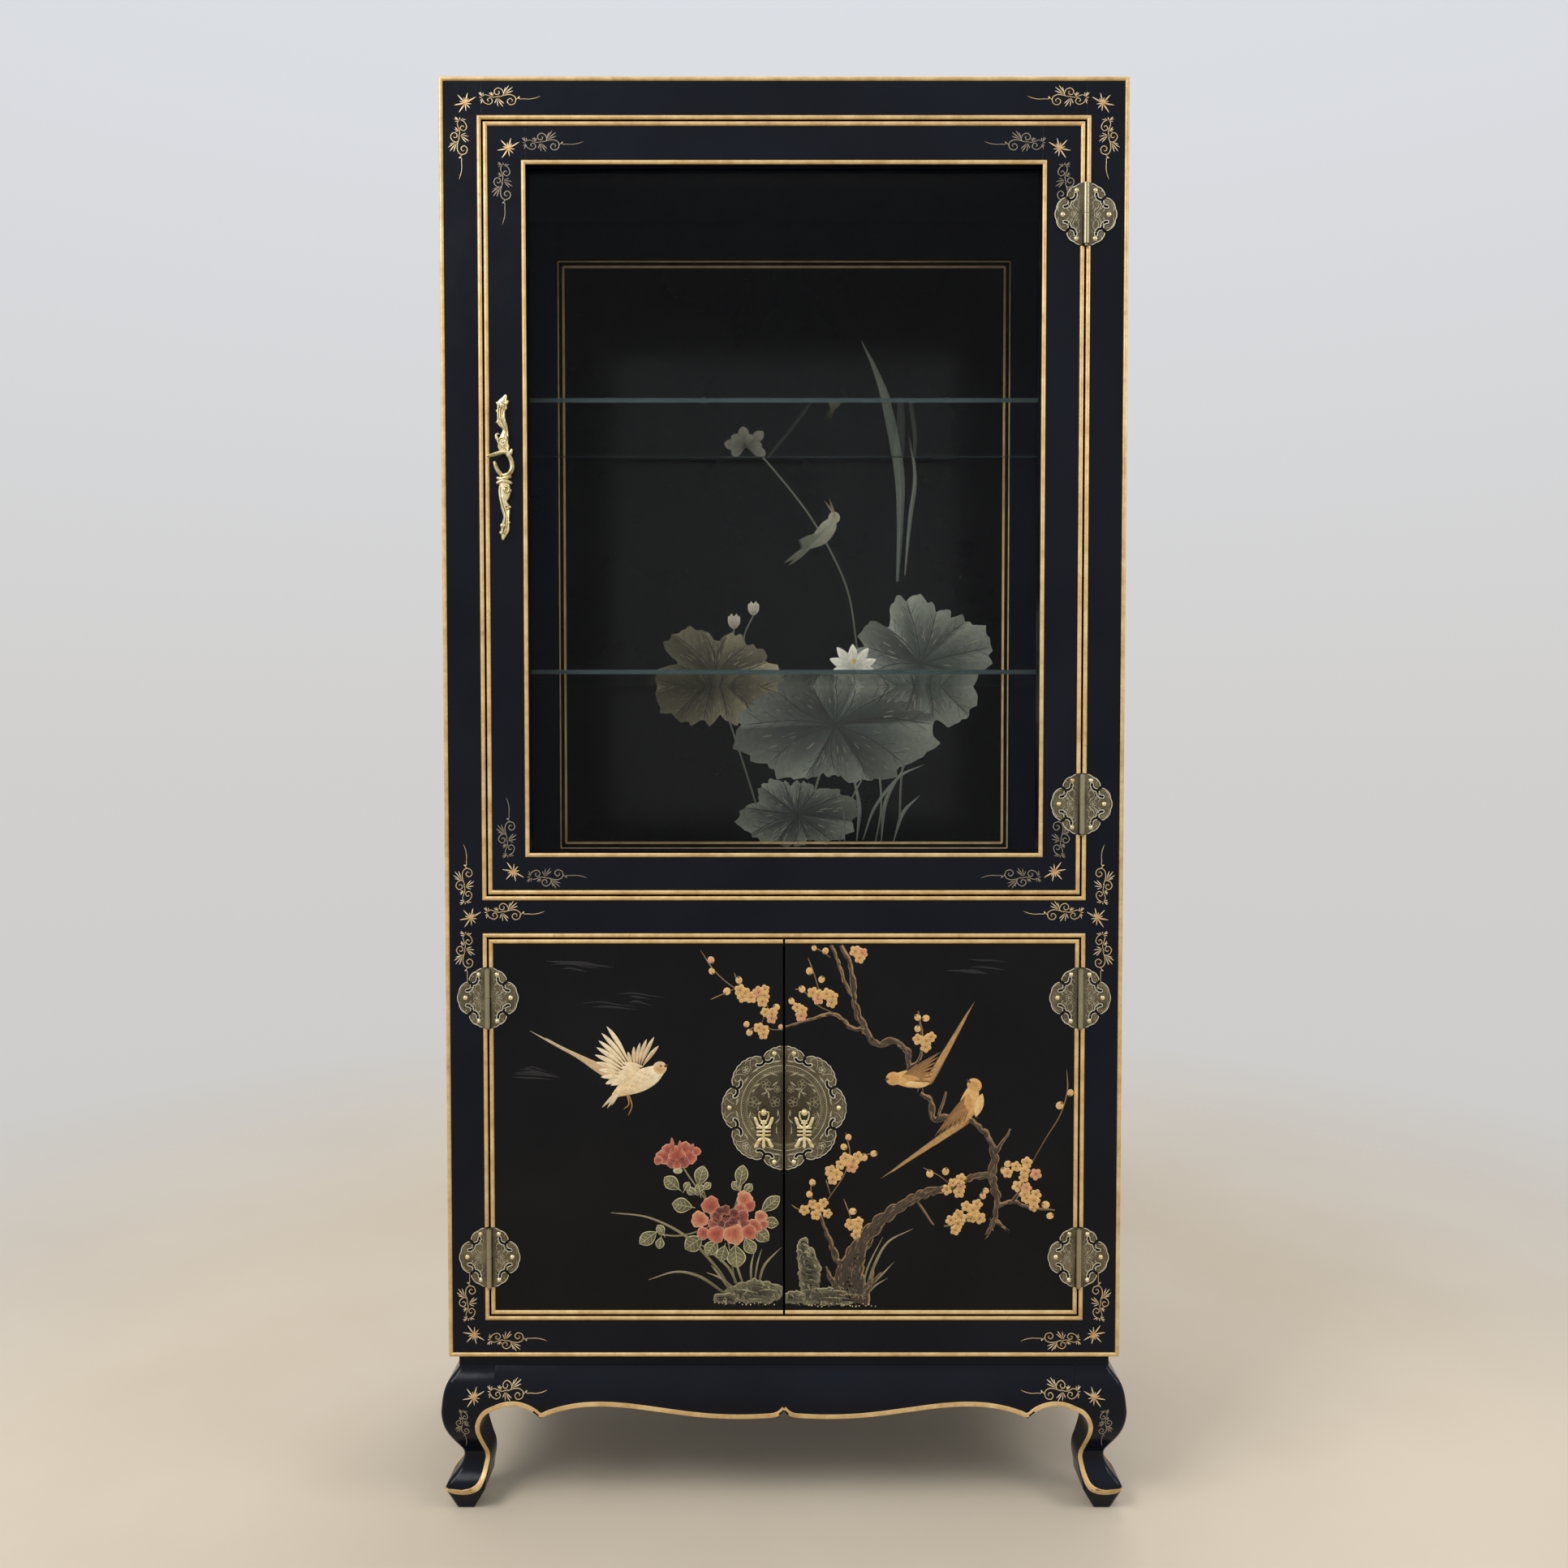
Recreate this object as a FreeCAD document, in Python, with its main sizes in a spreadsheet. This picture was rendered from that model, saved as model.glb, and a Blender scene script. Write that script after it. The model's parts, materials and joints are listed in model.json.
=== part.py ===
import FreeCAD, Part
import math
import os

from FreeCAD import Placement, Rotation, Vector

# A black lacquer display cabinet on a stand with curved legs. A glazed door on the right-hand
# hinges closes the upper part, two painted doors close the lower part, and two drop pulls hang
# on the lower doors. X is the width, Y the depth (front at -Y) and Z is up from the floor.

DRIVING_SIZES = (
    ("case_width", 900, "case, side to side"),
    ("case_depth", 390, "case, front to back"),
    ("case_height", 1690, "case, without the stand"),
    ("stand_height", 210, "floor to the bottom of the case"),
    ("board_thick", 20, "side, top, bottom and divider boards"),
    ("housing_depth", 6, "depth of the grooves that hold the boards' ends"),
    ("frame_width", 55, "face of the front frame's stiles and rails"),
    ("frame_thick", 24, "front frame, front to back"),
    ("tenon_length", 18, "tenons on frame and door rails"),
    ("tenon_thick", 8, "tenons, front to back"),
    ("tenon_shoulder", 10, "tenon set in from the rail's edges"),
    ("tenon_setback", 2.5, "tenon behind the front face"),
    ("tenon_play", 0.2, "space at the end of a tenon"),
    ("lower_opening", 510, "height of the lower doors' opening"),
    ("divider_drop", 10, "divider's top below the upper opening"),
    ("door_gap", 2.5, "space round a closed door"),
    ("meeting_gap", 3, "space between the two lower doors"),
    ("stop_gap", 0.5, "closed doors in front of their stops"),
    ("door_member", 55, "face of the glazed door's stiles and rails"),
    ("rabbet_width", 8, "step that the pane lies in"),
    ("rabbet_depth", 11.5, "step, from the back of the door"),
    ("pane_thick", 4, "door glass"),
    ("pane_play", 0.5, "space round the edge of the pane"),
    ("bead_width", 5.5, "gilt half-round bead"),
    ("bead_height", 2, "bead above the face"),
    ("stop_thick", 12, "door stop strips, front to back"),
    ("stop_lap", 15, "stop strip behind the closed door"),
    ("stop_hold", 22, "stop strip behind the rail"),
    ("magnet_radius", 6, "round magnets of the catches"),
    ("magnet_inset", 40, "magnet from the door's opening edge"),
    ("strike_radius", 8, "steel strike discs"),
    ("strike_thick", 1.5, "steel strike discs"),
    ("back_width", 60, "face of the back frame's members"),
    ("back_thick", 18, "back frame, front to back"),
    ("panel_thick", 6, "back panels"),
    ("panel_tongue", 6, "back panel inside its groove"),
    ("panel_play", 0.2, "space round a back panel in its groove"),
    ("shelf_thick", 6, "glass shelves"),
    ("shelf_depth", 300, "glass shelves, front to back"),
    ("shelf_setback", 60, "shelf's front edge behind the case front"),
    ("shelf_play", 2, "shelf's end from the side board"),
    ("lower_shelf_rise", 308, "lower shelf's underside above the divider"),
    ("upper_shelf_rise", 677, "upper shelf's underside above the divider"),
    ("shelf_pin_radius", 3, "pins under the shelves"),
    ("shelf_pin_out", 12, "pin beyond the side board"),
    ("shelf_pin_in", 10, "pin inside the side board"),
    ("shelf_pin_inset", 40, "pin from the shelf's front and back edges"),
    ("hole_play", 0.05, "radial space of a nail, pin or screw in its hole"),
    ("hinge_radius", 40, "round hinge plates"),
    ("hinge_curl", 5.2, "rounded ends of a hinge plate's lobes"),
    ("hinge_slot", 2.8, "notches behind those ends"),
    ("hinge_lobe_drop", 2.7, "those ends, in from the rim"),
    ("plate_thick", 1.6, "hinge plates and face plate"),
    ("knuckle_radius", 3.75, "hinge barrel"),
    ("knuckle_inset", 1, "barrel's ends inside the plate's rim"),
    ("knuckle_lift", 0.3, "barrel off the wood, and between the two knuckles"),
    ("leaf_play", 0.5, "plate cut back from the other plate's knuckle"),
    ("pin_radius", 2, "hinge pin"),
    ("pin_play", 0.1, "radial space of the pin in the door's knuckle"),
    ("pin_head_play", 0.15, "pin's head in front of the plates"),
    ("pin_head_thick", 1.2, "pin's head"),
    ("pin_tail", 2.5, "pin below the barrel"),
    ("glass_hinge_inset", 120, "hinge centre from the glazed door's ends"),
    ("lower_hinge_inset", 78, "hinge centre from the lower doors' ends"),
    ("nail_head", 3.2, "radius of a dome nail's head"),
    ("nail_rise", 2, "height of a dome nail's head"),
    ("nail_radius", 1.1, "nail's shank"),
    ("nail_length", 13, "nail's shank"),
    ("hinge_nail_rim", 10, "side nail from the hinge plate's rim"),
    ("hinge_nail_near", 12, "end nails from the hinge's axis"),
    ("hinge_nail_end", 9, "end nails from the hinge plate's top and bottom"),
    ("face_radius", 83, "face plate"),
    ("face_curl", 5.4, "rounded ends of the face plate's lobes"),
    ("face_slot", 3.2, "notches behind those ends"),
    ("face_lobe_drop", 5.5, "those ends, in from the rim"),
    ("face_rise", 27, "face plate's centre above the middle of the doors"),
    ("face_nail_rim", 10, "face plate's nails from its rim"),
    ("face_nail_near", 13, "end nails from the middle of the face plate"),
    ("drop_offset", 27, "drop pull from the middle of the face plate"),
    ("drop_below", 4, "drop pull's pivot below the face plate's centre"),
    ("drop_stand", 4.2, "drop pull's pivot in front of the face plate"),
    ("drop_wire", 1.3, "radius of the drop pull's loop"),
    ("drop_loop_depth", 13, "height of that loop"),
    ("drop_loop_bend", 2.4, "corners of that loop"),
    ("drop_thick", 3, "drop pull, front to back"),
    ("post_radius", 3.2, "dome-headed post of a drop pull"),
    ("post_shank", 2, "radius of the post's shank"),
    ("post_depth", 16, "post's shank inside the door"),
    ("pull_height", 187, "cast pull on the glazed door"),
    ("pull_rise", 58, "cast pull's middle above the middle of the door"),
    ("pull_shift", 3, "cast pull's middle outside the middle of its stile"),
    ("pull_thick", 9, "cast pull, front to back"),
    ("pull_lip_thick", 3.5, "cast pull's finger lip, up and down"),
    ("pull_lip_rise", 11, "that lip above the cast pull's middle"),
    ("pull_lip", 20, "cast pull's finger lip in front of the door"),
    ("pull_nail_rise", 78, "cast pull's nails from its middle"),
    ("waist_height", 17, "recessed waist between stand and case"),
    ("waist_recess", 11, "waist behind the faces of the case"),
    ("waist_width", 40, "waist rails, across"),
    ("leg_block", 60, "leg's top, from the case's corner inwards"),
    ("leg_round", 6, "leg's outer corner"),
    ("leg_arris", 0.5, "leg's other corners"),
    ("foot_height", 31, "floor to the rim of the toe"),
    ("knee_swell", 9.5, "knee outside the faces of the case"),
    ("apron_thick", 34, "apron's back behind the faces of the case"),
    ("apron_joint_drop", 53, "apron's lower edge below the waist, beside a leg"),
    ("apron_crest_drop", 46, "apron's lower edge below the waist, at its arches"),
    ("apron_cusp_drop", 62, "apron's lower edge below the waist, at its cusps"),
    ("screw_radius", 2.5, "screws that hold the case on the stand"),
    ("screw_length", 32, "those screws, without their heads"),
    ("screw_head", 4.5, "their heads"),
    ("screw_head_thick", 3, "their heads"),
)

DOC = FreeCAD.newDocument("display_cabinet")
SHEET = DOC.addObject("Spreadsheet::Sheet", "Sizes")
for row, (alias, number, note) in enumerate(DRIVING_SIZES, start=1):
    SHEET.set(f"A{row}", note)
    SHEET.set(f"B{row}", str(number))
    SHEET.setAlias(f"B{row}", alias)
DOC.recompute()

NODES = []

# Levels and planes that several pieces share, as expressions over the sheet.
HALF = "Sizes.case_width / 2"
FRONT = "-Sizes.case_depth / 2"
BACK = "Sizes.case_depth / 2"
CASE_LOW = "Sizes.stand_height"
CASE_HIGH = "(Sizes.stand_height + Sizes.case_height)"
INSIDE = f"({HALF} - Sizes.board_thick)"
FRAME_BACK = f"({FRONT} + Sizes.frame_thick)"
OPEN_HALF = f"({HALF} - Sizes.frame_width)"
LOWER_LOW = f"({CASE_LOW} + Sizes.frame_width)"
LOWER_HIGH = f"({LOWER_LOW} + Sizes.lower_opening)"
UPPER_LOW = f"({LOWER_HIGH} + Sizes.frame_width)"
UPPER_HIGH = f"({CASE_HIGH} - Sizes.frame_width)"
DIVIDER_TOP = f"({UPPER_LOW} - Sizes.divider_drop)"
DIVIDER_LOW = f"({DIVIDER_TOP} - Sizes.board_thick)"
DOOR_THICK = "(Sizes.frame_thick - Sizes.stop_gap)"
DOOR_BACK = f"({FRONT} + {DOOR_THICK})"
DOOR_HALF = f"({OPEN_HALF} - Sizes.door_gap)"
GLASS_LOW = f"({UPPER_LOW} + Sizes.door_gap)"
GLASS_HIGH = f"({UPPER_HIGH} - Sizes.door_gap)"
PAINTED_LOW = f"({LOWER_LOW} + Sizes.door_gap)"
PAINTED_HIGH = f"({LOWER_HIGH} - Sizes.door_gap)"
MEETING = "Sizes.meeting_gap / 2"
SIGHT_HALF = f"({DOOR_HALF} - Sizes.door_member)"
SIGHT_LOW = f"({GLASS_LOW} + Sizes.door_member)"
SIGHT_HIGH = f"({GLASS_HIGH} - Sizes.door_member)"
RABBET_HALF = f"({SIGHT_HALF} + Sizes.rabbet_width)"
RABBET_LOW = f"({SIGHT_LOW} - Sizes.rabbet_width)"
RABBET_HIGH = f"({SIGHT_HIGH} + Sizes.rabbet_width)"
RABBET_FRONT = f"({DOOR_BACK} - Sizes.rabbet_depth)"
HINGE_X = f"({OPEN_HALF} - Sizes.door_gap / 2)"
HINGE_Y = f"({FRONT} - Sizes.knuckle_radius - Sizes.knuckle_lift)"
KNUCKLE_HALF = "(Sizes.hinge_radius - Sizes.knuckle_inset)"
PIN_HEAD = "(Sizes.knuckle_radius + Sizes.knuckle_lift - Sizes.plate_thick - Sizes.pin_head_play)"
PLATE_FRONT = f"({FRONT} - Sizes.plate_thick)"
FACE_Z = f"(({PAINTED_LOW} + {PAINTED_HIGH}) / 2 + Sizes.face_rise)"
DROP_Y = f"({PLATE_FRONT} - Sizes.drop_stand)"
DROP_Z = f"({FACE_Z} - Sizes.drop_below)"
PULL_X = f"-({DOOR_HALF} - Sizes.door_member / 2 + Sizes.pull_shift)"
PULL_Z = f"(({GLASS_LOW} + {GLASS_HIGH}) / 2 + Sizes.pull_rise)"
WAIST_LOW = "(Sizes.stand_height - Sizes.waist_height)"
BACK_FRONT = f"({BACK} - Sizes.back_thick)"

X_AXIS = Vector(1, 0, 0)
Y_AXIS = Vector(0, 1, 0)
Z_AXIS = Vector(0, 0, 1)


def mm(expression):
    """Millimetres that an expression over the sheet comes to, for outlines drawn in code."""
    return float(SHEET.evalExpression(expression))


def place(piece, x, y, z, rotation=None):
    """Bind the three coordinates of a piece's place, after any turn."""
    if rotation is not None:
        piece.Placement = Placement(Vector(), rotation)
    for axis, expression in zip("xyz", (x, y, z)):
        piece.setExpression(f"Placement.Base.{axis}", expression)
    return piece


def box(name, x, y, z):
    """A block between a low and a high expression along each axis."""
    block = DOC.addObject("Part::Box", name)
    for side, (low, high) in zip(("Length", "Width", "Height"), (x, y, z)):
        block.setExpression(side, f"({high}) - ({low})")
    return place(block, x[0], y[0], z[0])


def rod(name, radius, length, start, direction=Z_AXIS):
    """A cylinder from its start point along one of the axes."""
    cylinder = DOC.addObject("Part::Cylinder", name)
    cylinder.setExpression("Radius", radius)
    cylinder.setExpression("Height", length)
    return place(cylinder, *start, Rotation(Z_AXIS, direction))


def fuse(name, pieces):
    """One solid out of several that meet or overlap."""
    whole = DOC.addObject("Part::MultiFuse", name)
    whole.Shapes = pieces
    whole.Refine = True
    return whole


def group(name, pieces):
    """Separate solids that share one node."""
    members = DOC.addObject("Part::Compound", name)
    members.Links = pieces
    return members


def cut(name, base, tools):
    """A solid with one or more tools taken out of it."""
    result = DOC.addObject("Part::Cut", name)
    result.Base = base
    result.Tool = tools[0] if len(tools) == 1 else group(f"{name}_tools", tools)
    return result


def common(name, first, second):
    """What two solids share."""
    result = DOC.addObject("Part::Common", name)
    result.Base = first
    result.Tool = second
    return result


def node(piece, name):
    """Name a finished sub-part, which names its file."""
    piece.Label = name
    NODES.append(piece)
    return piece


def sided(sign, inner, outer):
    """Low and high expressions of a span on the left (-1) or the right (+1)."""
    if sign > 0:
        return inner, outer
    return f"-({outer})", f"-({inner})"


def side_name(sign):
    return "left" if sign < 0 else "right"


def origin_plane(body, role):
    return next(item for item in body.Origin.OriginFeatures if item.Role == role)


def padded(name, role, edges, thick, symmetric=False):
    """A body with one closed outline on an origin plane, padded to a bound thickness."""
    body = DOC.addObject("PartDesign::Body", name)
    sketch = body.newObject("Sketcher::SketchObject", f"{name}_outline")
    sketch.AttachmentSupport = [(origin_plane(body, role), "")]
    sketch.MapMode = "FlatFace"
    sketch.addGeometry(edges, False)
    pad = body.newObject("PartDesign::Pad", f"{name}_pad")
    pad.Profile = sketch
    pad.setExpression("Length", thick)
    pad.SideType = "Symmetric" if symmetric else "One side"
    return body


def arc(centre, radius, start, end):
    """Sketch arc, anticlockwise from one angle to another, in radians."""
    return Part.ArcOfCircle(Part.Circle(centre, Z_AXIS, radius), start, end)


def line(first, second):
    return Part.LineSegment(first, second)


def polar(radius, angle, centre=Vector()):
    return centre + Vector(radius * math.cos(angle), radius * math.sin(angle), 0)


# Case: boards housed in the sides, with a face frame in front

def board_ends():
    """Span of a board whose ends sit in the side boards' housings."""
    reach = f"({INSIDE} + Sizes.housing_depth)"
    return f"-({reach})", reach


def level_boards():
    """Top, bottom and divider, from the frame's back to the back of the case."""
    spans = {
        "top_board": (f"{CASE_HIGH} - Sizes.board_thick", CASE_HIGH, BACK),
        "bottom_board": (CASE_LOW, f"{CASE_LOW} + Sizes.board_thick", BACK),
        "divider_board": (DIVIDER_LOW, DIVIDER_TOP, BACK_FRONT),
    }
    boards = {}
    for name, (low, high, rear) in spans.items():
        boards[name] = box(f"{name}_blank", board_ends(), (FRAME_BACK, rear), (low, high))
    return boards


def screw_places():
    """Plan positions of the screws between stand and case."""
    clear_of_apron = "(Sizes.apron_thick + Sizes.waist_recess + Sizes.waist_width) / 2"
    reach_x = f"({HALF} - {clear_of_apron})"
    reach_y = f"({BACK} - {clear_of_apron})"
    for sign_x in (-1, 1):
        for share in (-0.5, 0.5):
            yield f"{sign_x} * {reach_x}", f"{share} * {reach_y}"


def stand_screws():
    """Screws up through the waist into the bottom of the case, and the holes they need."""
    screws = []
    holes = []
    for index, (x, y) in enumerate(screw_places()):
        base = (x, y, WAIST_LOW)
        shank = rod(f"screw_shank_{index}", "Sizes.screw_radius", "Sizes.screw_length", base)
        head = rod(f"screw_head_{index}", "Sizes.screw_head", "Sizes.screw_head_thick",
                   (x, y, f"{WAIST_LOW} - Sizes.screw_head_thick"))
        screws.append(fuse(f"screw_{index}", [shank, head]))
        holes.append(rod(f"screw_hole_{index}", "Sizes.screw_radius + Sizes.hole_play",
                         "Sizes.screw_length + Sizes.tenon_play", base))
    node(group("stand_screws", screws), "stand_screws")
    return holes


def shelf_pin_places():
    """Height and depth of the shelf pins on one side board."""
    front = f"({FRONT} + Sizes.shelf_setback + Sizes.shelf_pin_inset)"
    rear = f"({FRONT} + Sizes.shelf_setback + Sizes.shelf_depth - Sizes.shelf_pin_inset)"
    for rise in ("Sizes.lower_shelf_rise", "Sizes.upper_shelf_rise"):
        for y in (front, rear):
            yield y, f"{DIVIDER_TOP} + {rise} - Sizes.shelf_pin_radius"


def shelf_pins(sign):
    """Pins in one side board, with the holes that hold them."""
    pins = []
    holes = []
    side = side_name(sign)
    low, high = sided(sign, f"{INSIDE} - Sizes.shelf_pin_out", f"{INSIDE} + Sizes.shelf_pin_in")
    for index, (y, z) in enumerate(shelf_pin_places()):
        length = "Sizes.shelf_pin_out + Sizes.shelf_pin_in"
        pins.append(rod(f"shelf_pin_{side}_{index}", "Sizes.shelf_pin_radius", length, (low, y, z), X_AXIS))
        holes.append(rod(f"shelf_pin_hole_{side}_{index}", "Sizes.shelf_pin_radius + Sizes.hole_play",
                         length, (low, y, z), X_AXIS))
    return pins, holes


def case_boards(stand_holes):
    """Side boards with housings and pin holes, and the level boards between them."""
    boards = level_boards()
    pins = []
    for sign in (-1, 1):
        side = side_name(sign)
        blank = box(f"side_{side}_blank", sided(sign, INSIDE, HALF), (FRAME_BACK, BACK),
                    (CASE_LOW, CASE_HIGH))
        new_pins, holes = shelf_pins(sign)
        pins += new_pins
        node(cut(f"side_{side}", blank, list(boards.values()) + holes), f"side_{side}")
    node(group("shelf_pins", pins), "shelf_pins")
    for name, blank in boards.items():
        if name == "bottom_board":
            blank = cut("bottom_board_drilled", blank, stand_holes)
        node(blank, name)


def tenoned_rail(name, half, front, thick, low, high):
    """A rail with a tenon at each end, and the mortises' volume for its stiles."""
    body = box(f"{name}_body", (f"-({half})", half), (front, f"{front} + {thick}"), (low, high))
    y = (f"{front} + Sizes.tenon_setback", f"{front} + Sizes.tenon_setback + Sizes.tenon_thick")
    z = (f"{low} + Sizes.tenon_shoulder", f"{high} - Sizes.tenon_shoulder")
    reach = f"({half} + Sizes.tenon_length)"
    hollow = f"({reach} + Sizes.tenon_play)"
    tenon = box(f"{name}_tenon", (f"-{reach}", reach), y, z)
    mortise = box(f"{name}_mortise", (f"-{hollow}", hollow), y, z)
    return fuse(f"{name}_joined", [body, tenon]), mortise


def front_frame(nail_holes):
    """Two stiles and three rails round the door openings."""
    mortises = []
    for name, low, high in (
        ("top", UPPER_HIGH, CASE_HIGH),
        ("middle", LOWER_HIGH, UPPER_LOW),
        ("bottom", CASE_LOW, LOWER_LOW),
    ):
        rail, mortise = tenoned_rail(f"front_rail_{name}", OPEN_HALF, FRONT, "Sizes.frame_thick", low, high)
        node(rail, f"front_rail_{name}")
        mortises.append(mortise)
    for sign in (-1, 1):
        side = side_name(sign)
        blank = box(f"front_stile_{side}_blank", sided(sign, OPEN_HALF, HALF), (FRONT, FRAME_BACK),
                    (CASE_LOW, CASE_HIGH))
        node(cut(f"front_stile_{side}", blank, mortises + nail_holes[sign]), f"front_stile_{side}")


def back_of_case():
    """A framed back: stiles, three rails and two panels in their grooves."""
    inner = f"({INSIDE} - Sizes.back_width)"
    y = (BACK_FRONT, BACK)
    low = f"({CASE_LOW} + Sizes.board_thick)"
    high = f"({CASE_HIGH} - Sizes.board_thick)"
    mid_low = f"({DIVIDER_TOP} + Sizes.divider_drop - Sizes.back_width)"
    mid_high = f"({DIVIDER_TOP} + Sizes.divider_drop + Sizes.back_width / 2)"
    openings = {
        "upper": (mid_high, f"({high} - Sizes.back_width)"),
        "lower": (f"({low} + Sizes.back_width)", mid_low),
    }
    middle = f"({BACK} - Sizes.back_thick / 2)"
    grooves = []
    for name, (bottom, top) in openings.items():
        for play, suffix in (("0", "panel"), ("Sizes.panel_play", "groove")):
            reach = f"(Sizes.panel_tongue + {play})"
            depth = f"(Sizes.panel_thick / 2 + {play})"
            sheet = box(
                f"back_{suffix}_{name}",
                (f"-({inner} + {reach})", f"{inner} + {reach}"),
                (f"{middle} - {depth}", f"{middle} + {depth}"),
                (f"{bottom} - {reach}", f"{top} + {reach}"),
            )
            if suffix == "panel":
                node(sheet, f"back_panel_{name}")
            else:
                grooves.append(sheet)
    members = [
        box(f"back_stile_{side_name(sign)}", sided(sign, inner, INSIDE), y, (low, high)) for sign in (-1, 1)
    ]
    rails = ((low, openings["lower"][0]), (mid_low, mid_high), (openings["upper"][1], high))
    for index, (bottom, top) in enumerate(rails):
        members.append(box(f"back_rail_{index}", (f"-{inner}", inner), y, (bottom, top)))
    grooved = [cut(f"{member.Name}_grooved", member, grooves) for member in members]
    node(group("back_frame", grooved), "back_frame")


def door_stops():
    """Strips behind the rails that the doors close against, with round magnets let in."""
    y = (FRAME_BACK, f"{FRAME_BACK} + Sizes.stop_thick")
    x = (f"-({OPEN_HALF})", OPEN_HALF)
    spans = (
        ("upper_top", f"{UPPER_HIGH} - Sizes.stop_lap", f"{UPPER_HIGH} + Sizes.stop_hold"),
        ("upper_low", DIVIDER_TOP, f"{UPPER_LOW} + Sizes.stop_lap"),
        ("lower_top", f"{LOWER_HIGH} - Sizes.stop_lap", DIVIDER_LOW),
        ("lower_low", f"{CASE_LOW} + Sizes.board_thick", f"{LOWER_LOW} + Sizes.stop_lap"),
    )
    glass_x = f"-({DOOR_HALF} - Sizes.magnet_inset)"
    half_lap = "(Sizes.stop_lap - Sizes.door_gap) / 2"
    magnets = {
        "upper_top": [(glass_x, f"{GLASS_HIGH} - {half_lap}")],
        "upper_low": [(glass_x, f"{GLASS_LOW} + {half_lap}")],
        "lower_top": [
            (f"{sign} * ({MEETING} + Sizes.magnet_inset)", f"{PAINTED_HIGH} - {half_lap}") for sign in (-1, 1)
        ],
        "lower_low": [],
    }
    strips = []
    catches = []
    for name, low, high in spans:
        strip = box(f"stop_{name}_blank", x, y, (low, high))
        holes = []
        for index, (magnet_x, magnet_z) in enumerate(magnets[name]):
            start = (magnet_x, FRAME_BACK, magnet_z)
            depth = "Sizes.stop_thick / 2"
            catches.append(rod(f"magnet_{name}_{index}", "Sizes.magnet_radius", depth, start, Y_AXIS))
            holes.append(rod(f"magnet_{name}_{index}_hole", "Sizes.magnet_radius + Sizes.hole_play", depth,
                             start, Y_AXIS))
        strips.append(cut(f"stop_{name}", strip, holes) if holes else strip)
    node(group("door_stops", strips), "door_stops")
    node(group("magnet_catches", catches), "magnet_catches")
    return magnets


def strike(name, spot):
    """A steel disc let into the back of a door, and its recess."""
    start = (spot[0], f"{DOOR_BACK} - Sizes.strike_thick", spot[1])
    disc = rod(name, "Sizes.strike_radius", "Sizes.strike_thick", start, Y_AXIS)
    recess = rod(f"{name}_recess", "Sizes.strike_radius + Sizes.hole_play", "Sizes.strike_thick", start,
                 Y_AXIS)
    return disc, recess


def glass_shelves():
    """Two loose glass shelves on their pins."""
    reach = f"({INSIDE} - Sizes.shelf_play)"
    front = f"({FRONT} + Sizes.shelf_setback)"
    for name in ("lower", "upper"):
        low = f"({DIVIDER_TOP} + Sizes.{name}_shelf_rise)"
        shelf = box(f"glass_shelf_{name}", (f"-{reach}", reach), (front, f"{front} + Sizes.shelf_depth"),
                    (low, f"{low} + Sizes.shelf_thick"))
        node(shelf, f"glass_shelf_{name}")


# Beads: half-round strips on the front faces, mitred at the corners

def bead_strip(name, length, turn, place_at, mitres=(True, True)):
    """One strip. Its long edge is the outer one, and turn carries the bottom strip to the others."""
    start, end = [("Sizes.bead_width" if mitre else "0") for mitre in mitres]
    stock = DOC.addObject("Part::Wedge", f"{name}_stock")
    for side, expression in (
        ("Xmin", f"-({length}) / 2"),
        ("Xmax", f"({length}) / 2"),
        ("X2min", f"-({length}) / 2 + {start}"),
        ("X2max", f"({length}) / 2 - {end}"),
        ("Ymin", "0"),
        ("Ymax", "Sizes.bead_width"),
        ("Zmin", "0"),
        ("Z2min", "0"),
        ("Zmax", "Sizes.bead_height"),
        ("Z2max", "Sizes.bead_height"),
    ):
        stock.setExpression(side, expression)
    radius = "((Sizes.bead_width ^ 2 / 4 + Sizes.bead_height ^ 2) / (2 * Sizes.bead_height))"
    round_face = rod(f"{name}_round", radius, length,
                     (f"-({length}) / 2", "Sizes.bead_width / 2", f"Sizes.bead_height - {radius}"), X_AXIS)
    strip = common(name, stock, round_face)
    rotation = Rotation(Y_AXIS, turn).multiply(Rotation(X_AXIS, 90))
    return place(strip, place_at[0], FRONT, place_at[1], rotation)


def bead_frame(name, left, right, low, high, open_side=None):
    """Strips along the inside of a rectangle; open_side names the edge that has none."""
    middle_x = f"(({left}) + ({right})) / 2"
    middle_z = f"(({low}) + ({high})) / 2"
    width = f"({right}) - ({left})"
    height = f"({high}) - ({low})"
    edges = (
        ("bottom", width, 0, (middle_x, low), ("left", "right")),
        ("left", height, 90, (left, middle_z), ("top", "bottom")),
        ("top", width, 180, (middle_x, high), ("right", "left")),
        ("right", height, 270, (right, middle_z), ("bottom", "top")),
    )
    return [
        bead_strip(f"{name}_{edge}", length, turn, spot, tuple(end != open_side for end in ends))
        for edge, length, turn, spot, ends in edges
        if edge != open_side
    ]


def beads(name, strips, hinge_spots):
    """A node of bead strips, stopped where hinge plates lie on the face."""
    gaps = [
        rod(f"{name}_gap_{index}", "Sizes.hinge_radius + 1", "Sizes.bead_height * 2",
            (x, f"{FRONT} - Sizes.bead_height", z), Y_AXIS)
        for index, (x, z) in enumerate(hinge_spots)
    ]
    whole = group(f"{name}_strips", strips)
    node(cut(name, whole, gaps), name)


# Plates: round outlines with lobes that curl in beside hooked notches

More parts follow.
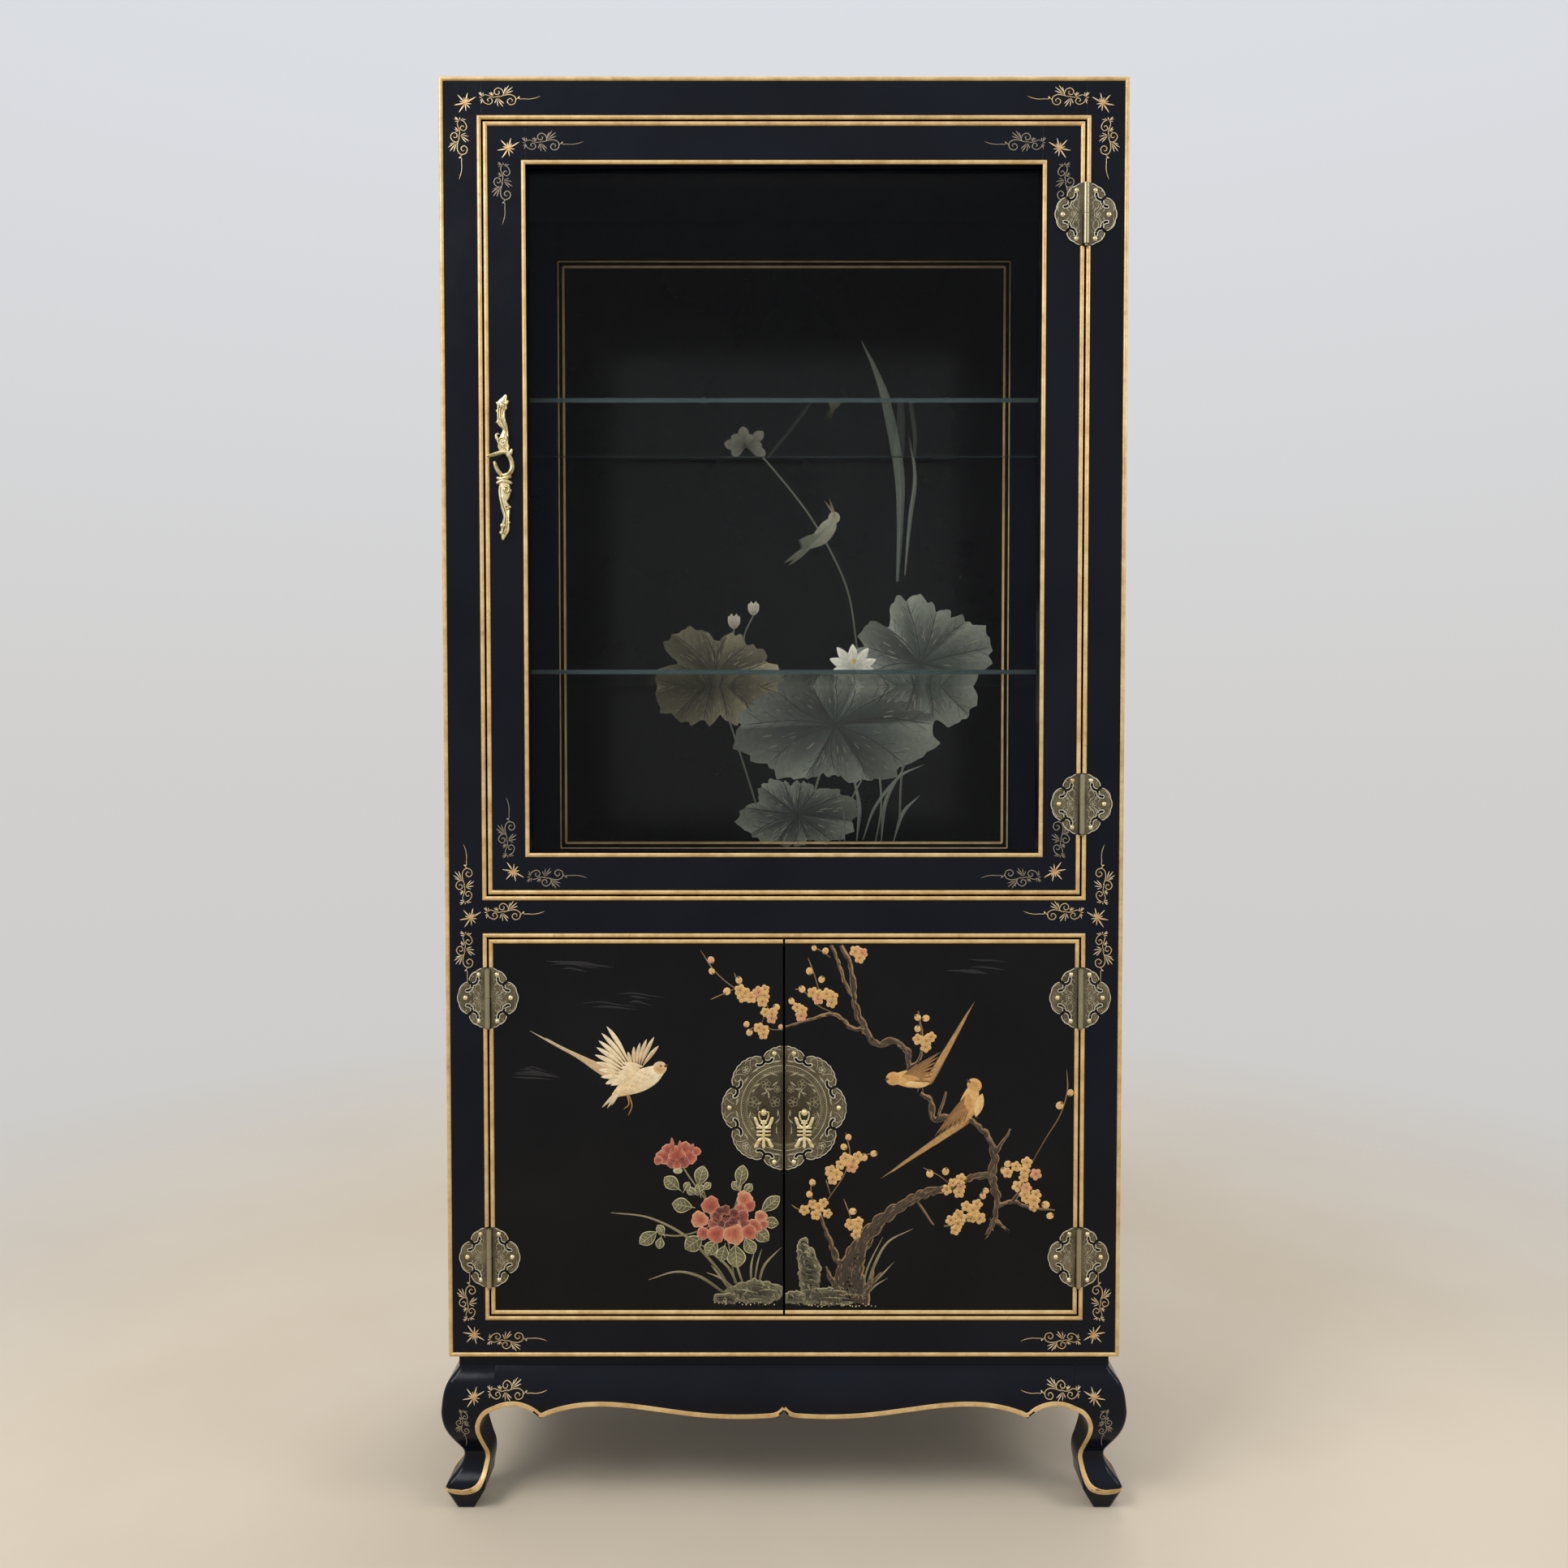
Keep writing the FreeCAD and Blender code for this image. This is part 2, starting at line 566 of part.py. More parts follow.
class Lobes:
    """Rim of a round plate: lobes of one outer radius whose rounded ends curl in at the notches."""

    def __init__(self, radius, curl, slot, drop, wrap, notches):
        self.radius = radius
        self.curl = curl
        self.slot = slot
        self.wrap = wrap
        self.notches = [math.radians(degrees) for degrees in notches]
        self.mouth = 0.24 * curl
        self.head_reach = radius - curl - drop
        self.lean = math.asin((curl + self.mouth / 2) / self.head_reach)

    def lobe(self, half_angle):
        """Centre distance and radius of a lobe's arc, and where it runs into its rounded ends."""
        rim = self.radius - self.curl
        along = self.head_reach * math.cos(half_angle - self.lean)
        aside = self.head_reach * math.sin(half_angle - self.lean)
        centre = (rim ** 2 - self.head_reach ** 2) / (2 * (rim - along))
        return centre, self.radius - centre, math.atan2(aside, along - centre)

    def arc_edges(self, middle, half_angle, start, end, scallop):
        """Shallow scallops along one lobe; start and end are angles at the lobe's own centre."""
        reach, radius, turn = self.lobe(half_angle)
        start = -turn if start is None else start
        end = turn if end is None else end
        centre = polar(reach, middle)
        count = max(1, round((end - start) * radius / scallop))
        swell = 0.08 * scallop
        edges = []
        for index in range(count):
            first, last = [middle + start + (end - start) * (index + offset) / count for offset in (0, 1)]
            edges.append(
                Part.Arc(
                    polar(radius, first, centre),
                    polar(radius + swell, (first + last) / 2, centre),
                    polar(radius, last, centre),
                )
            )
        return edges

    def notch_edges(self, direction, half_before, half_after):
        """One notch: the rounded end of each lobe, its hook and the wall that the hooks share."""
        curl, slot = self.curl, self.slot
        meet = math.asin((curl + self.mouth / 2) / (curl + slot))
        edges = []
        for side, half_angle in ((-1, half_before), (1, half_after)):
            head = polar(self.head_reach, direction + side * self.lean)
            outward = direction + side * (half_angle - self.lobe(half_angle)[2])
            under = direction - side * (math.pi + self.wrap)
            wall = direction - side * (math.pi - meet)
            cap = polar(curl + slot / 2, under, head)
            spans = (
                (head, curl, outward, under),
                (cap, slot / 2, under, under - side * math.pi),
                (head, curl + slot, wall, under),
            )
            for centre, size, start, end in spans:
                edges.append(arc(centre, size, start, end) if side < 0 else arc(centre, size, end, start))
        return edges

    def end_reach(self, x):
        """Height of the rim at the top of the plate, beside its straight edge."""
        centre, radius, _ = self.lobe(math.pi / 2 - self.notches[-1])
        return centre + math.sqrt(radius ** 2 - x ** 2)

    def half_plate(self, low_x, high_x, scallop):
        """Edges of the right half, open at the straight edges that start at low_x and end at high_x."""
        upright = math.pi / 2
        end_half = upright - self.notches[-1]
        halves = [end_half]
        halves += [(after - before) / 2 for before, after in zip(self.notches, self.notches[1:])]
        halves.append(end_half)
        end_radius = self.lobe(end_half)[1]
        edges = self.arc_edges(-upright, end_half, math.asin(low_x / end_radius), None, scallop)
        for index, direction in enumerate(self.notches):
            edges += self.notch_edges(direction, halves[index], halves[index + 1])
            if index + 1 < len(self.notches):
                middle = (direction + self.notches[index + 1]) / 2
                edges += self.arc_edges(middle, halves[index + 1], None, None, scallop)
        edges += self.arc_edges(upright, end_half, None, -math.asin(high_x / end_radius), scallop)
        return edges


def mirrored_edges(edges, sign):
    """The outline itself on the right, or its mirror image on the left."""
    if sign > 0:
        return edges
    flip = FreeCAD.Matrix()
    flip.A11 = -1
    mirrored = []
    for edge in edges:
        shape = edge.toShape().transformGeometry(flip).Edges[0]
        first, last = shape.ParameterRange
        if isinstance(edge, Part.LineSegment):
            mirrored.append(line(shape.valueAt(first), shape.valueAt(last)))
        else:
            mirrored.append(
                Part.Arc(shape.valueAt(first), shape.valueAt((first + last) / 2), shape.valueAt(last))
            )
    return mirrored


def hinge_leaf(name, door_sign, centre_z, on_door):
    """A half plate with one knuckle. The door's knuckle is the upper one."""
    lobes = Lobes(mm("Sizes.hinge_radius"), mm("Sizes.hinge_curl"), mm("Sizes.hinge_slot"),
                  mm("Sizes.hinge_lobe_drop"), 0.9, (-41, 41))
    cut_back = mm("Sizes.knuckle_radius + Sizes.leaf_play")
    low_x, high_x = (cut_back, 0.0) if on_door else (0.0, cut_back)
    corners = [
        Vector(low_x, -lobes.end_reach(low_x), 0),
        Vector(low_x, 0, 0),
        Vector(high_x, 0, 0),
        Vector(high_x, lobes.end_reach(high_x), 0),
    ]
    edges = lobes.half_plate(low_x, high_x, 13)
    edges += [line(first, second) for first, second in zip(corners, corners[1:])]
    side = -door_sign if on_door else door_sign
    plate = padded(f"{name}_plate", "XZ_Plane", mirrored_edges(edges, side), "Sizes.plate_thick")
    axis_x = f"{door_sign} * {HINGE_X}"
    place(plate, axis_x, FRONT, centre_z)
    half_length = f"({KNUCKLE_HALF} - Sizes.knuckle_lift / 2)"
    low = f"{centre_z} + Sizes.knuckle_lift / 2" if on_door else f"{centre_z} - {KNUCKLE_HALF}"
    knuckle = rod(f"{name}_knuckle", "Sizes.knuckle_radius", half_length, (axis_x, HINGE_Y, low))
    play = "Sizes.pin_play" if on_door else "Sizes.hole_play / 2"
    bore = rod(f"{name}_bore", f"Sizes.pin_radius + {play}", "2 * Sizes.hinge_radius",
               (axis_x, HINGE_Y, f"{centre_z} - Sizes.hinge_radius"))
    solid = fuse(f"{name}_joined", [plate, knuckle])
    near = f"{axis_x} + {side} * Sizes.hinge_nail_near"
    rise = "(Sizes.hinge_radius - Sizes.hinge_nail_end)"
    spots = [
        (near, f"{centre_z} + {rise}"),
        (f"{axis_x} + {side} * (Sizes.hinge_radius - Sizes.hinge_nail_rim)", centre_z),
        (near, f"{centre_z} - {rise}"),
    ]
    return solid, bore, spots


def dome_nail(name, spot, seat):
    """A nail with a domed head on a seat plane, its shank running into the wood, and its hole."""
    x, z = spot
    ball = "((Sizes.nail_head ^ 2 + Sizes.nail_rise ^ 2) / (2 * Sizes.nail_rise))"
    head = DOC.addObject("Part::Sphere", f"{name}_head")
    head.setExpression("Radius", ball)
    head.setExpression("Angle1", f"asin(({ball} - Sizes.nail_rise) / {ball})")
    place(head, x, f"{seat} + {ball} - Sizes.nail_rise", z, Rotation(X_AXIS, 90))
    shank = rod(f"{name}_shank", "Sizes.nail_radius", "Sizes.nail_length", (x, seat, z), Y_AXIS)
    hole = rod(f"{name}_hole", "Sizes.nail_radius + Sizes.hole_play", "Sizes.nail_length", (x, seat, z),
               Y_AXIS)
    return fuse(name, [head, shank]), hole


def nailed(name, spots, seat):
    """Nails and holes at a list of spots."""
    pairs = [dome_nail(f"{name}_{index}", spot, seat) for index, spot in enumerate(spots)]
    return [nail for nail, hole in pairs], [hole for nail, hole in pairs]


def hinge_pin(name, axis_x, centre_z):
    """A pin with a head on the barrel and a tail below it."""
    shaft = rod(f"{name}_shaft", "Sizes.pin_radius", f"2 * {KNUCKLE_HALF} + Sizes.pin_tail",
                (axis_x, HINGE_Y, f"{centre_z} - {KNUCKLE_HALF} - Sizes.pin_tail"))
    head = rod(f"{name}_head", PIN_HEAD, "Sizes.pin_head_thick",
               (axis_x, HINGE_Y, f"{centre_z} + {KNUCKLE_HALF}"))
    return fuse(name, [shaft, head])


def hinges():
    """Six hinges: leaves grouped by door and frame, nails by what carries them."""
    doors = (
        ("glass_door", 1, GLASS_LOW, GLASS_HIGH, "Sizes.glass_hinge_inset"),
        ("left_door", -1, PAINTED_LOW, PAINTED_HIGH, "Sizes.lower_hinge_inset"),
        ("right_door", 1, PAINTED_LOW, PAINTED_HIGH, "Sizes.lower_hinge_inset"),
    )
    frame_leaves = {"glass_door": [], "lower_door": []}
    frame_nails = []
    frame_holes = {-1: [], 1: []}
    door_nails = {}
    door_holes = {}
    pins = []
    spots = {}
    for door, door_sign, low, high, inset in doors:
        door_leaves = []
        door_nails[door] = []
        door_holes[door] = []
        spots[door] = []
        axis_x = f"{door_sign} * {HINGE_X}"
        for end, centre_z in (("low", f"({low} + {inset})"), ("high", f"({high} - {inset})")):
            spots[door].append((axis_x, centre_z))
            pins.append(hinge_pin(f"{door}_{end}_pin", axis_x, centre_z))
            for part, on_door in (("door", True), ("frame", False)):
                name = f"{door}_{end}_{part}_leaf"
                solid, bore, nail_spots = hinge_leaf(name, door_sign, centre_z, on_door)
                nails, holes = nailed(f"{name}_nail", nail_spots, PLATE_FRONT)
                leaf = cut(name, solid, [bore] + holes)
                if on_door:
                    door_leaves.append(leaf)
                    door_nails[door] += nails
                    door_holes[door] += holes
                else:
                    frame_leaves["glass_door" if door == "glass_door" else "lower_door"].append(leaf)
                    frame_nails += nails
                    frame_holes[door_sign] += holes
        node(group(f"{door}_leaves", door_leaves), f"{door}_leaves")
    for door, leaves in frame_leaves.items():
        node(group(f"{door}_frame_leaves", leaves), f"{door}_frame_leaves")
    node(group("hinge_pins", pins), "hinge_pins")
    node(group("frame_nails", frame_nails), "frame_nails")
    return spots, frame_holes, door_nails, door_holes


# Doors

def glass_door(magnets, nails, nail_holes):
    """Stiles and rails round a pane in its rabbet, with strips behind the pane."""
    rabbet = box("glass_door_rabbet", (f"-{RABBET_HALF}", RABBET_HALF), (RABBET_FRONT, DOOR_BACK),
                 (RABBET_LOW, RABBET_HIGH))
    strikes = []
    recesses = []
    for index, spot in enumerate(magnets["upper_top"] + magnets["upper_low"]):
        disc, recess = strike(f"glass_door_strike_{index}", spot)
        strikes.append(disc)
        recesses.append(recess)
    node(group("glass_door_strikes", strikes), "glass_door_strikes")
    mortises = []
    for name, low, high, recess in (
        ("top", SIGHT_HIGH, GLASS_HIGH, recesses[0]),
        ("bottom", GLASS_LOW, SIGHT_LOW, recesses[1]),
    ):
        rail, mortise = tenoned_rail(f"glass_door_rail_{name}", SIGHT_HALF, FRONT, DOOR_THICK,
                                     low, high)
        node(cut(f"glass_door_rail_{name}", rail, [rabbet, recess]), f"glass_door_rail_{name}")
        mortises.append(mortise)
    for sign in (-1, 1):
        side = side_name(sign)
        blank = box(f"glass_door_stile_{side}_blank", sided(sign, SIGHT_HALF, DOOR_HALF), (FRONT, DOOR_BACK),
                    (GLASS_LOW, GLASS_HIGH))
        tools = mortises + [rabbet] + nail_holes[sign]
        tools += recesses if sign < 0 else []
        node(cut(f"glass_door_stile_{side}", blank, tools), f"glass_door_stile_{side}")
    play = "Sizes.pane_play"
    pane_back = f"({RABBET_FRONT} + Sizes.pane_thick)"
    pane = box("glass_pane", (f"-({RABBET_HALF} - {play})", f"{RABBET_HALF} - {play}"),
               (RABBET_FRONT, pane_back), (f"{RABBET_LOW} + {play}", f"{RABBET_HIGH} - {play}"))
    node(pane, "glass_pane")
    strips = []
    y = (pane_back, DOOR_BACK)
    for sign in (-1, 1):
        strips.append(box(f"glazing_strip_{side_name(sign)}", sided(sign, SIGHT_HALF, RABBET_HALF), y,
                          (RABBET_LOW, RABBET_HIGH)))
    for name, low, high in (("low", RABBET_LOW, SIGHT_LOW), ("high", SIGHT_HIGH, RABBET_HIGH)):
        strips.append(box(f"glazing_strip_{name}", (f"-{SIGHT_HALF}", SIGHT_HALF), y, (low, high)))
    node(group("glazing_strips", strips), "glazing_strips")
    node(group("glass_door_nails", nails), "glass_door_nails")


def painted_door(sign, magnet_spot, nails, holes):
    """A lower door: one lacquered board, with its strike, face plate, nails and post."""
    side = side_name(sign)
    disc, recess = strike(f"{side}_door_strike", magnet_spot)
    node(disc, f"{side}_door_strike")
    plate_nails, plate_holes = face_plate(sign)
    post_hole = pull_post(sign)
    board = box(f"{side}_door_blank", sided(sign, MEETING, DOOR_HALF), (FRONT, DOOR_BACK),
                (PAINTED_LOW, PAINTED_HIGH))
    tools = [recess, post_hole] + holes + plate_holes
    node(cut(f"{side}_door_board", board, tools), f"{side}_door_board")
    node(group(f"{side}_door_nails", nails + plate_nails), f"{side}_door_nails")


def face_plate(sign):
    """Half of the round face plate, with three nails and a hole for the pull's post."""
    side = side_name(sign)
    lobes = Lobes(mm("Sizes.face_radius"), mm("Sizes.face_curl"), mm("Sizes.face_slot"),
                  mm("Sizes.face_lobe_drop"), 0.8, (-67.5, -22.5, 22.5, 67.5))
    edge = mm(MEETING)
    reach = lobes.end_reach(edge)
    edges = lobes.half_plate(edge, edge, 10)
    edges.append(line(Vector(edge, -reach, 0), Vector(edge, reach, 0)))
    plate = padded(f"{side}_face_blank", "XZ_Plane", mirrored_edges(edges, sign), "Sizes.plate_thick")
    place(plate, "0", FRONT, FACE_Z)
    near = f"{sign} * Sizes.face_nail_near"
    nail_reach = "(Sizes.face_radius - Sizes.face_nail_rim)"
    spots = [
        (near, f"{FACE_Z} + {nail_reach}"),
        (f"{sign} * {nail_reach}", FACE_Z),
        (near, f"{FACE_Z} - {nail_reach}"),
    ]
    nails, holes = nailed(f"{side}_face_nail", spots, PLATE_FRONT)
    post_hole = rod(f"{side}_face_post_hole", "Sizes.post_shank + Sizes.hole_play", "2 * Sizes.plate_thick",
                    (f"{sign} * Sizes.drop_offset", f"{FRONT} - 1.5 * Sizes.plate_thick", DROP_Z), Y_AXIS)
    node(cut(f"{side}_face_plate", plate, holes + [post_hole]), f"{side}_face_plate")
    return nails, holes


def pull_post(sign):
    """A dome-headed post, bored across for the drop pull, and the hole for its shank."""
    side = side_name(sign)
    x = f"{sign} * Sizes.drop_offset"
    neck = rod(f"{side}_post_neck", "Sizes.post_radius", "Sizes.drop_stand", (x, DROP_Y, DROP_Z), Y_AXIS)
    dome = DOC.addObject("Part::Sphere", f"{side}_post_dome")
    dome.setExpression("Radius", "Sizes.post_radius")
    place(dome, x, DROP_Y, DROP_Z)
    length = "Sizes.plate_thick + Sizes.post_depth"
    shank = rod(f"{side}_post_shank", "Sizes.post_shank", length, (x, PLATE_FRONT, DROP_Z), Y_AXIS)
    hole = rod(f"{side}_post_hole", "Sizes.post_shank + Sizes.hole_play", length, (x, PLATE_FRONT, DROP_Z),
               Y_AXIS)
    bore = rod(f"{side}_post_bore", "Sizes.drop_wire + Sizes.pin_play", "4 * Sizes.post_radius",
               (f"{x} - 2 * Sizes.post_radius", DROP_Y, DROP_Z), X_AXIS)
    solid = fuse(f"{side}_post_joined", [neck, dome, shank])
    node(cut(f"{side}_pull_post", solid, [bore]), f"{side}_pull_post")
    return hole


# Drop pulls: a wire loop over an openwork drop with flared arms and feet

# Level bars: half width, top below the loop's foot, height
DROP_BARS = (
    ("stem", 1.8, -0.5, 34),
    ("collar", 4, 2.4, 2.6),
    ("shoulder", 8.4, 6.6, 3.4),
    ("rung_high", 7.6, 12.2, 2.6),
    ("rung_low", 7.6, 16.6, 2.6),
    ("hip", 8.4, 21, 3.4),
    ("toe", 4, 26.4, 2.4),
)
# Slanting limbs: root and tip, each as distance from the middle and drop below the loop's foot
DROP_LIMBS = (
    ("arm", (7.2, 8.6), (12.3, -2.6)),
    ("foot", (7.2, 22), (12.3, 33)),
)
DROP_LIMB_WIDTH = 4
DROP_BUD = 33


def drop_bar(name, half_width, top, height):
    """A level bar of the drop, about its own centre line."""
    half_thick = "Sizes.drop_thick / 2"
    return box(name, (f"-{half_width}", f"{half_width}"), (f"-{half_thick}", half_thick),
               (f"{top - height}", f"{top}"))


def drop_limb(name, sign, root, tip, width):
    """A slanting arm or foot of the drop, with a rounded end, between two points."""
    first = Vector(sign * root[0], root[1], 0)
    last = Vector(sign * tip[0], tip[1], 0)
    along = (last - first).normalize()
    across = Vector(-along.y, along.x, 0) * (width / 2)
    nose = last + along * (width / 2)
    edges = [
        line(first - across, last - across),
        Part.Arc(last - across, nose, last + across),
        line(last + across, first + across),
        line(first + across, first - across),
    ]
    return padded(name, "XZ_Plane", edges, "Sizes.drop_thick", symmetric=True)


def drop_loop(name):
    """Wire loop: a level bar through the post, two sides and a foot on the drop."""
    wire = mm("Sizes.drop_wire")
    half = mm("Sizes.post_radius") + 2 * wire
    depth = mm("Sizes.drop_loop_depth")
    bend = mm("Sizes.drop_loop_bend")
    corners = [Vector(-half, 0, 0), Vector(half, 0, 0), Vector(half, 0, -depth), Vector(-half, 0, -depth)]
    edges = []
    for index, corner in enumerate(corners):
        before = (corners[index - 1] - corner).normalize()
        after = (corners[(index + 1) % 4] - corner).normalize()
        inner = corner + (before + after) * bend
        middle = inner - (before + after).normalize() * bend
        edges.append(Part.Arc(corner + before * bend, middle, corner + after * bend).toShape())
        following = corners[(index + 1) % 4]
        edges.append(Part.makeLine(corner + after * bend, following - after * bend))
    path = Part.Wire(Part.__sortEdges__(edges))
    ring = Part.Wire(Part.makeCircle(wire, Vector(0, 0, 0), X_AXIS))
    loop = DOC.addObject("Part::Feature", name)
    loop.Shape = path.makePipeShell([ring], True, False)
    return loop


def drop_pull(sign):
    """The whole drop, hung at its pivot, from the top of its loop down to its bud."""
    side = side_name(sign)
    foot = -mm("Sizes.drop_loop_depth")
    pieces = [drop_loop(f"{side}_drop_loop")]
    for name, half_width, drop, height in DROP_BARS:
        pieces.append(drop_bar(f"{side}_drop_{name}", half_width, foot - drop, height))
    for name, root, tip in DROP_LIMBS:
        for end in (-1, 1):
            low, high = [(x, foot - drop) for x, drop in (root, tip)]
            pieces.append(drop_limb(f"{side}_drop_{name}_{side_name(end)}", end, low, high, DROP_LIMB_WIDTH))
    bud = rod(f"{side}_drop_bud", "Sizes.drop_thick * 1.2", "Sizes.drop_thick",
              ("0", "-Sizes.drop_thick / 2", f"{foot - DROP_BUD}"), Y_AXIS)
    pull = fuse(f"{side}_pull", pieces + [bud])
    node(place(pull, f"{sign} * Sizes.drop_offset", DROP_Y, DROP_Z), f"{side}_pull")


# Cast pull on the glazed door: a tall scrolled plate with an open middle and a finger lip

def pull_edges():
    """Leafy outline, as shares of half the height, down the right edge and up the left one."""
    half = mm("Sizes.pull_height") / 2
    right = ((1.0, 3.5), (0.9, 6), (0.79, 3), (0.68, 2.2), (0.5, 5.5), (0.31, 7.2), (0.22, 9.5), (0.05, 12.5),
             (-0.12, 9), (-0.23, 9.5), (-0.33, 9.8), (-0.45, 7), (-0.57, 8.8), (-0.67, 8.4), (-0.79, 7),
             (-0.92, 4.8))
    left = ((-1.0, -2.5), (-0.9, -5.6), (-0.77, -4.8), (-0.67, -2), (-0.56, -5), (-0.44, -6), (-0.25, -9),
            (-0.13, -9.5), (0.02, -14), (0.14, -11), (0.3, -9.8), (0.42, -11), (0.6, -9.6), (0.79, -9),
            (0.9, -8.6), (0.96, -2))
    outline = Part.BSplineCurve()
    outline.interpolate(Points=[Vector(x, share * half, 0) for share, x in right + left], PeriodicFlag=True)
    return [outline]


def pull_lip():
    """Pointed lip for a finger, over the opening in the middle of the cast pull."""
    root = -mm("Sizes.pull_thick") / 2
    tip = Vector(-12, -mm("Sizes.pull_lip"), 0)
    outer = [Vector(-9, root, 0), Vector(-11.5, (root + tip.y) / 2, 0), tip]
    inner = [tip, Vector(-4, (root + tip.y) / 2 - 2, 0), Vector(5, root, 0)]
    edges = [spline(outer), spline(inner), line(inner[-1], outer[0])]
    return padded("glass_door_pull_lip", "XY_Plane", edges, "Sizes.pull_lip_thick")


def cast_pull():
    """Scrolled plate with its openings, lip and two nails; returns the nails and their holes."""
    plate = padded("glass_door_pull_plate", "XZ_Plane", pull_edges(), "Sizes.pull_thick")
    place(plate, PULL_X, FRONT, PULL_Z)
    lip = place(pull_lip(), PULL_X, FRONT, f"{PULL_Z} + Sizes.pull_lip_rise")
    ring = padded("glass_door_pull_ring", "XZ_Plane", [Part.Ellipse(Vector(-1, 9.7, 0), Vector(2.8, 1.5, 0),
                  Vector(-1, 1.5, 0))], "3 * Sizes.pull_thick", symmetric=True)
    curl = padded("glass_door_pull_curl", "XZ_Plane", [Part.Circle(Vector(-8.5, 46, 0), Z_AXIS, 5.2)],
                  "3 * Sizes.pull_thick", symmetric=True)
    openings = [place(opening, PULL_X, FRONT, PULL_Z) for opening in (ring, curl)]
    spots = [(PULL_X, f"{PULL_Z} + {sign} * Sizes.pull_nail_rise") for sign in (-1, 1)]
    nails, holes = nailed("glass_door_pull_nail", spots, f"({FRONT} - Sizes.pull_thick)")
    whole = fuse("glass_door_pull_joined", [plate, lip])
    node(cut("glass_door_pull", whole, openings + holes), "glass_door_pull")
    return nails, holes


# Stand: cabriole legs, shaped aprons and a recessed waist

def leg_stations():
    """Height, outer reach and inner reach of the leg from the case's corner, floor upwards."""
    top = mm(WAIST_LOW)
    joint = top - mm("Sizes.apron_joint_drop")
    rim = mm("Sizes.foot_height")
    swell = mm("Sizes.knee_swell")
    block = mm("Sizes.leg_block")
    recess = mm("Sizes.waist_recess")
    shin = (
        (0.00, -6.0, 48.0),
        (0.13, 4.0, 49.5),
        (0.24, 12.5, 51.0),
        (0.36, 14.0, 50.5),
        (0.50, 7.0, 47.0),
        (0.72, -4.5, 42.5),
        (0.86, -8.5, 44.0),
        (0.94, -swell, 49.0),
    )
    stations = [(rim + share * (joint - rim), outer, inner) for share, outer, inner in shin]
    stations += [
        (joint, -swell, block),
        (top - 36, -swell + 1.7, block + 20),
        (top - 15, 0.0, block + 32),
        (top, recess, block + 36),
    ]
    return stations


def leg_section(height, outer, inner):
    """Square section whose outer corner is well rounded and whose others are only eased."""
    eased = mm("Sizes.leg_arris")
    rounds = (mm("Sizes.leg_round"), eased, eased, eased)
    turns = ((outer, outer), (inner, outer), (inner, inner), (outer, inner))
    corners = [Vector(x, y, height) for x, y in turns]
    edges = []
    for index, corner in enumerate(corners):
        size = rounds[index]
        before = (corners[index - 1] - corner).normalize()
        after = (corners[(index + 1) % 4] - corner).normalize()
        centre = corner + (before + after) * size
        middle = centre - (before + after).normalize() * size
        edges.append(Part.Arc(corner + before * size, middle, corner + after * size).toShape())
        following = rounds[(index + 1) % 4]
        edges.append(Part.makeLine(corner + after * size, corners[(index + 1) % 4] - after * following))
    return Part.Wire(edges)


def leg_shape():
    """Leg lofted from the toe's rim to the waist and sawn flat at the aprons, over a tapered foot."""
    stations = leg_stations()
    shin = Part.makeLoft([leg_section(*station) for station in stations], True, False)
    block = mm("Sizes.leg_block")
    reach = 2 * block
    shin = shin.common(Part.makeBox(reach, reach, mm(WAIST_LOW), Vector(block - reach, block - reach, 0)))
    rim = stations[0]
    foot = Part.makeLoft([leg_section(0, rim[1] + 12, rim[2] - 17), leg_section(*rim)], True, True)
    return shin.fuse(foot).removeSplitter()


CORNERS = (
    ("front_left", f"-({HALF})", FRONT, 0),
    ("front_right", HALF, FRONT, 90),
    ("rear_right", HALF, BACK, 180),
    ("rear_left", f"-({HALF})", BACK, 270),
)


def legs():
    shape = leg_shape()
    for name, x, y, turn in CORNERS:
        leg = DOC.addObject("Part::Feature", f"leg_{name}")
        leg.Shape = shape
        node(place(leg, x, y, "0", Rotation(Z_AXIS, turn)), f"leg_{name}")


def spline(points):
    curve = Part.BSplineCurve()
    curve.interpolate(Points=points)
    return curve


def apron_section():
    """Section across an apron: swelling front, flat back; depth first, then height."""
    top = mm(WAIST_LOW)
    swell = mm("Sizes.knee_swell")
    back = mm("Sizes.apron_thick")
    low = top - mm("Sizes.apron_cusp_drop") - 4
    front = [
        Vector(mm("Sizes.waist_recess"), top, 0),
        Vector(0, top - 15, 0),
        Vector(-swell + 1.7, top - 36, 0),
        Vector(-swell, top - mm("Sizes.apron_joint_drop"), 0),
        Vector(-swell, low, 0),
    ]
    return [
        spline(front),
        line(front[-1], Vector(back, low, 0)),
        line(Vector(back, low, 0), Vector(back, top, 0)),
        line(Vector(back, top, 0), front[0]),
    ]


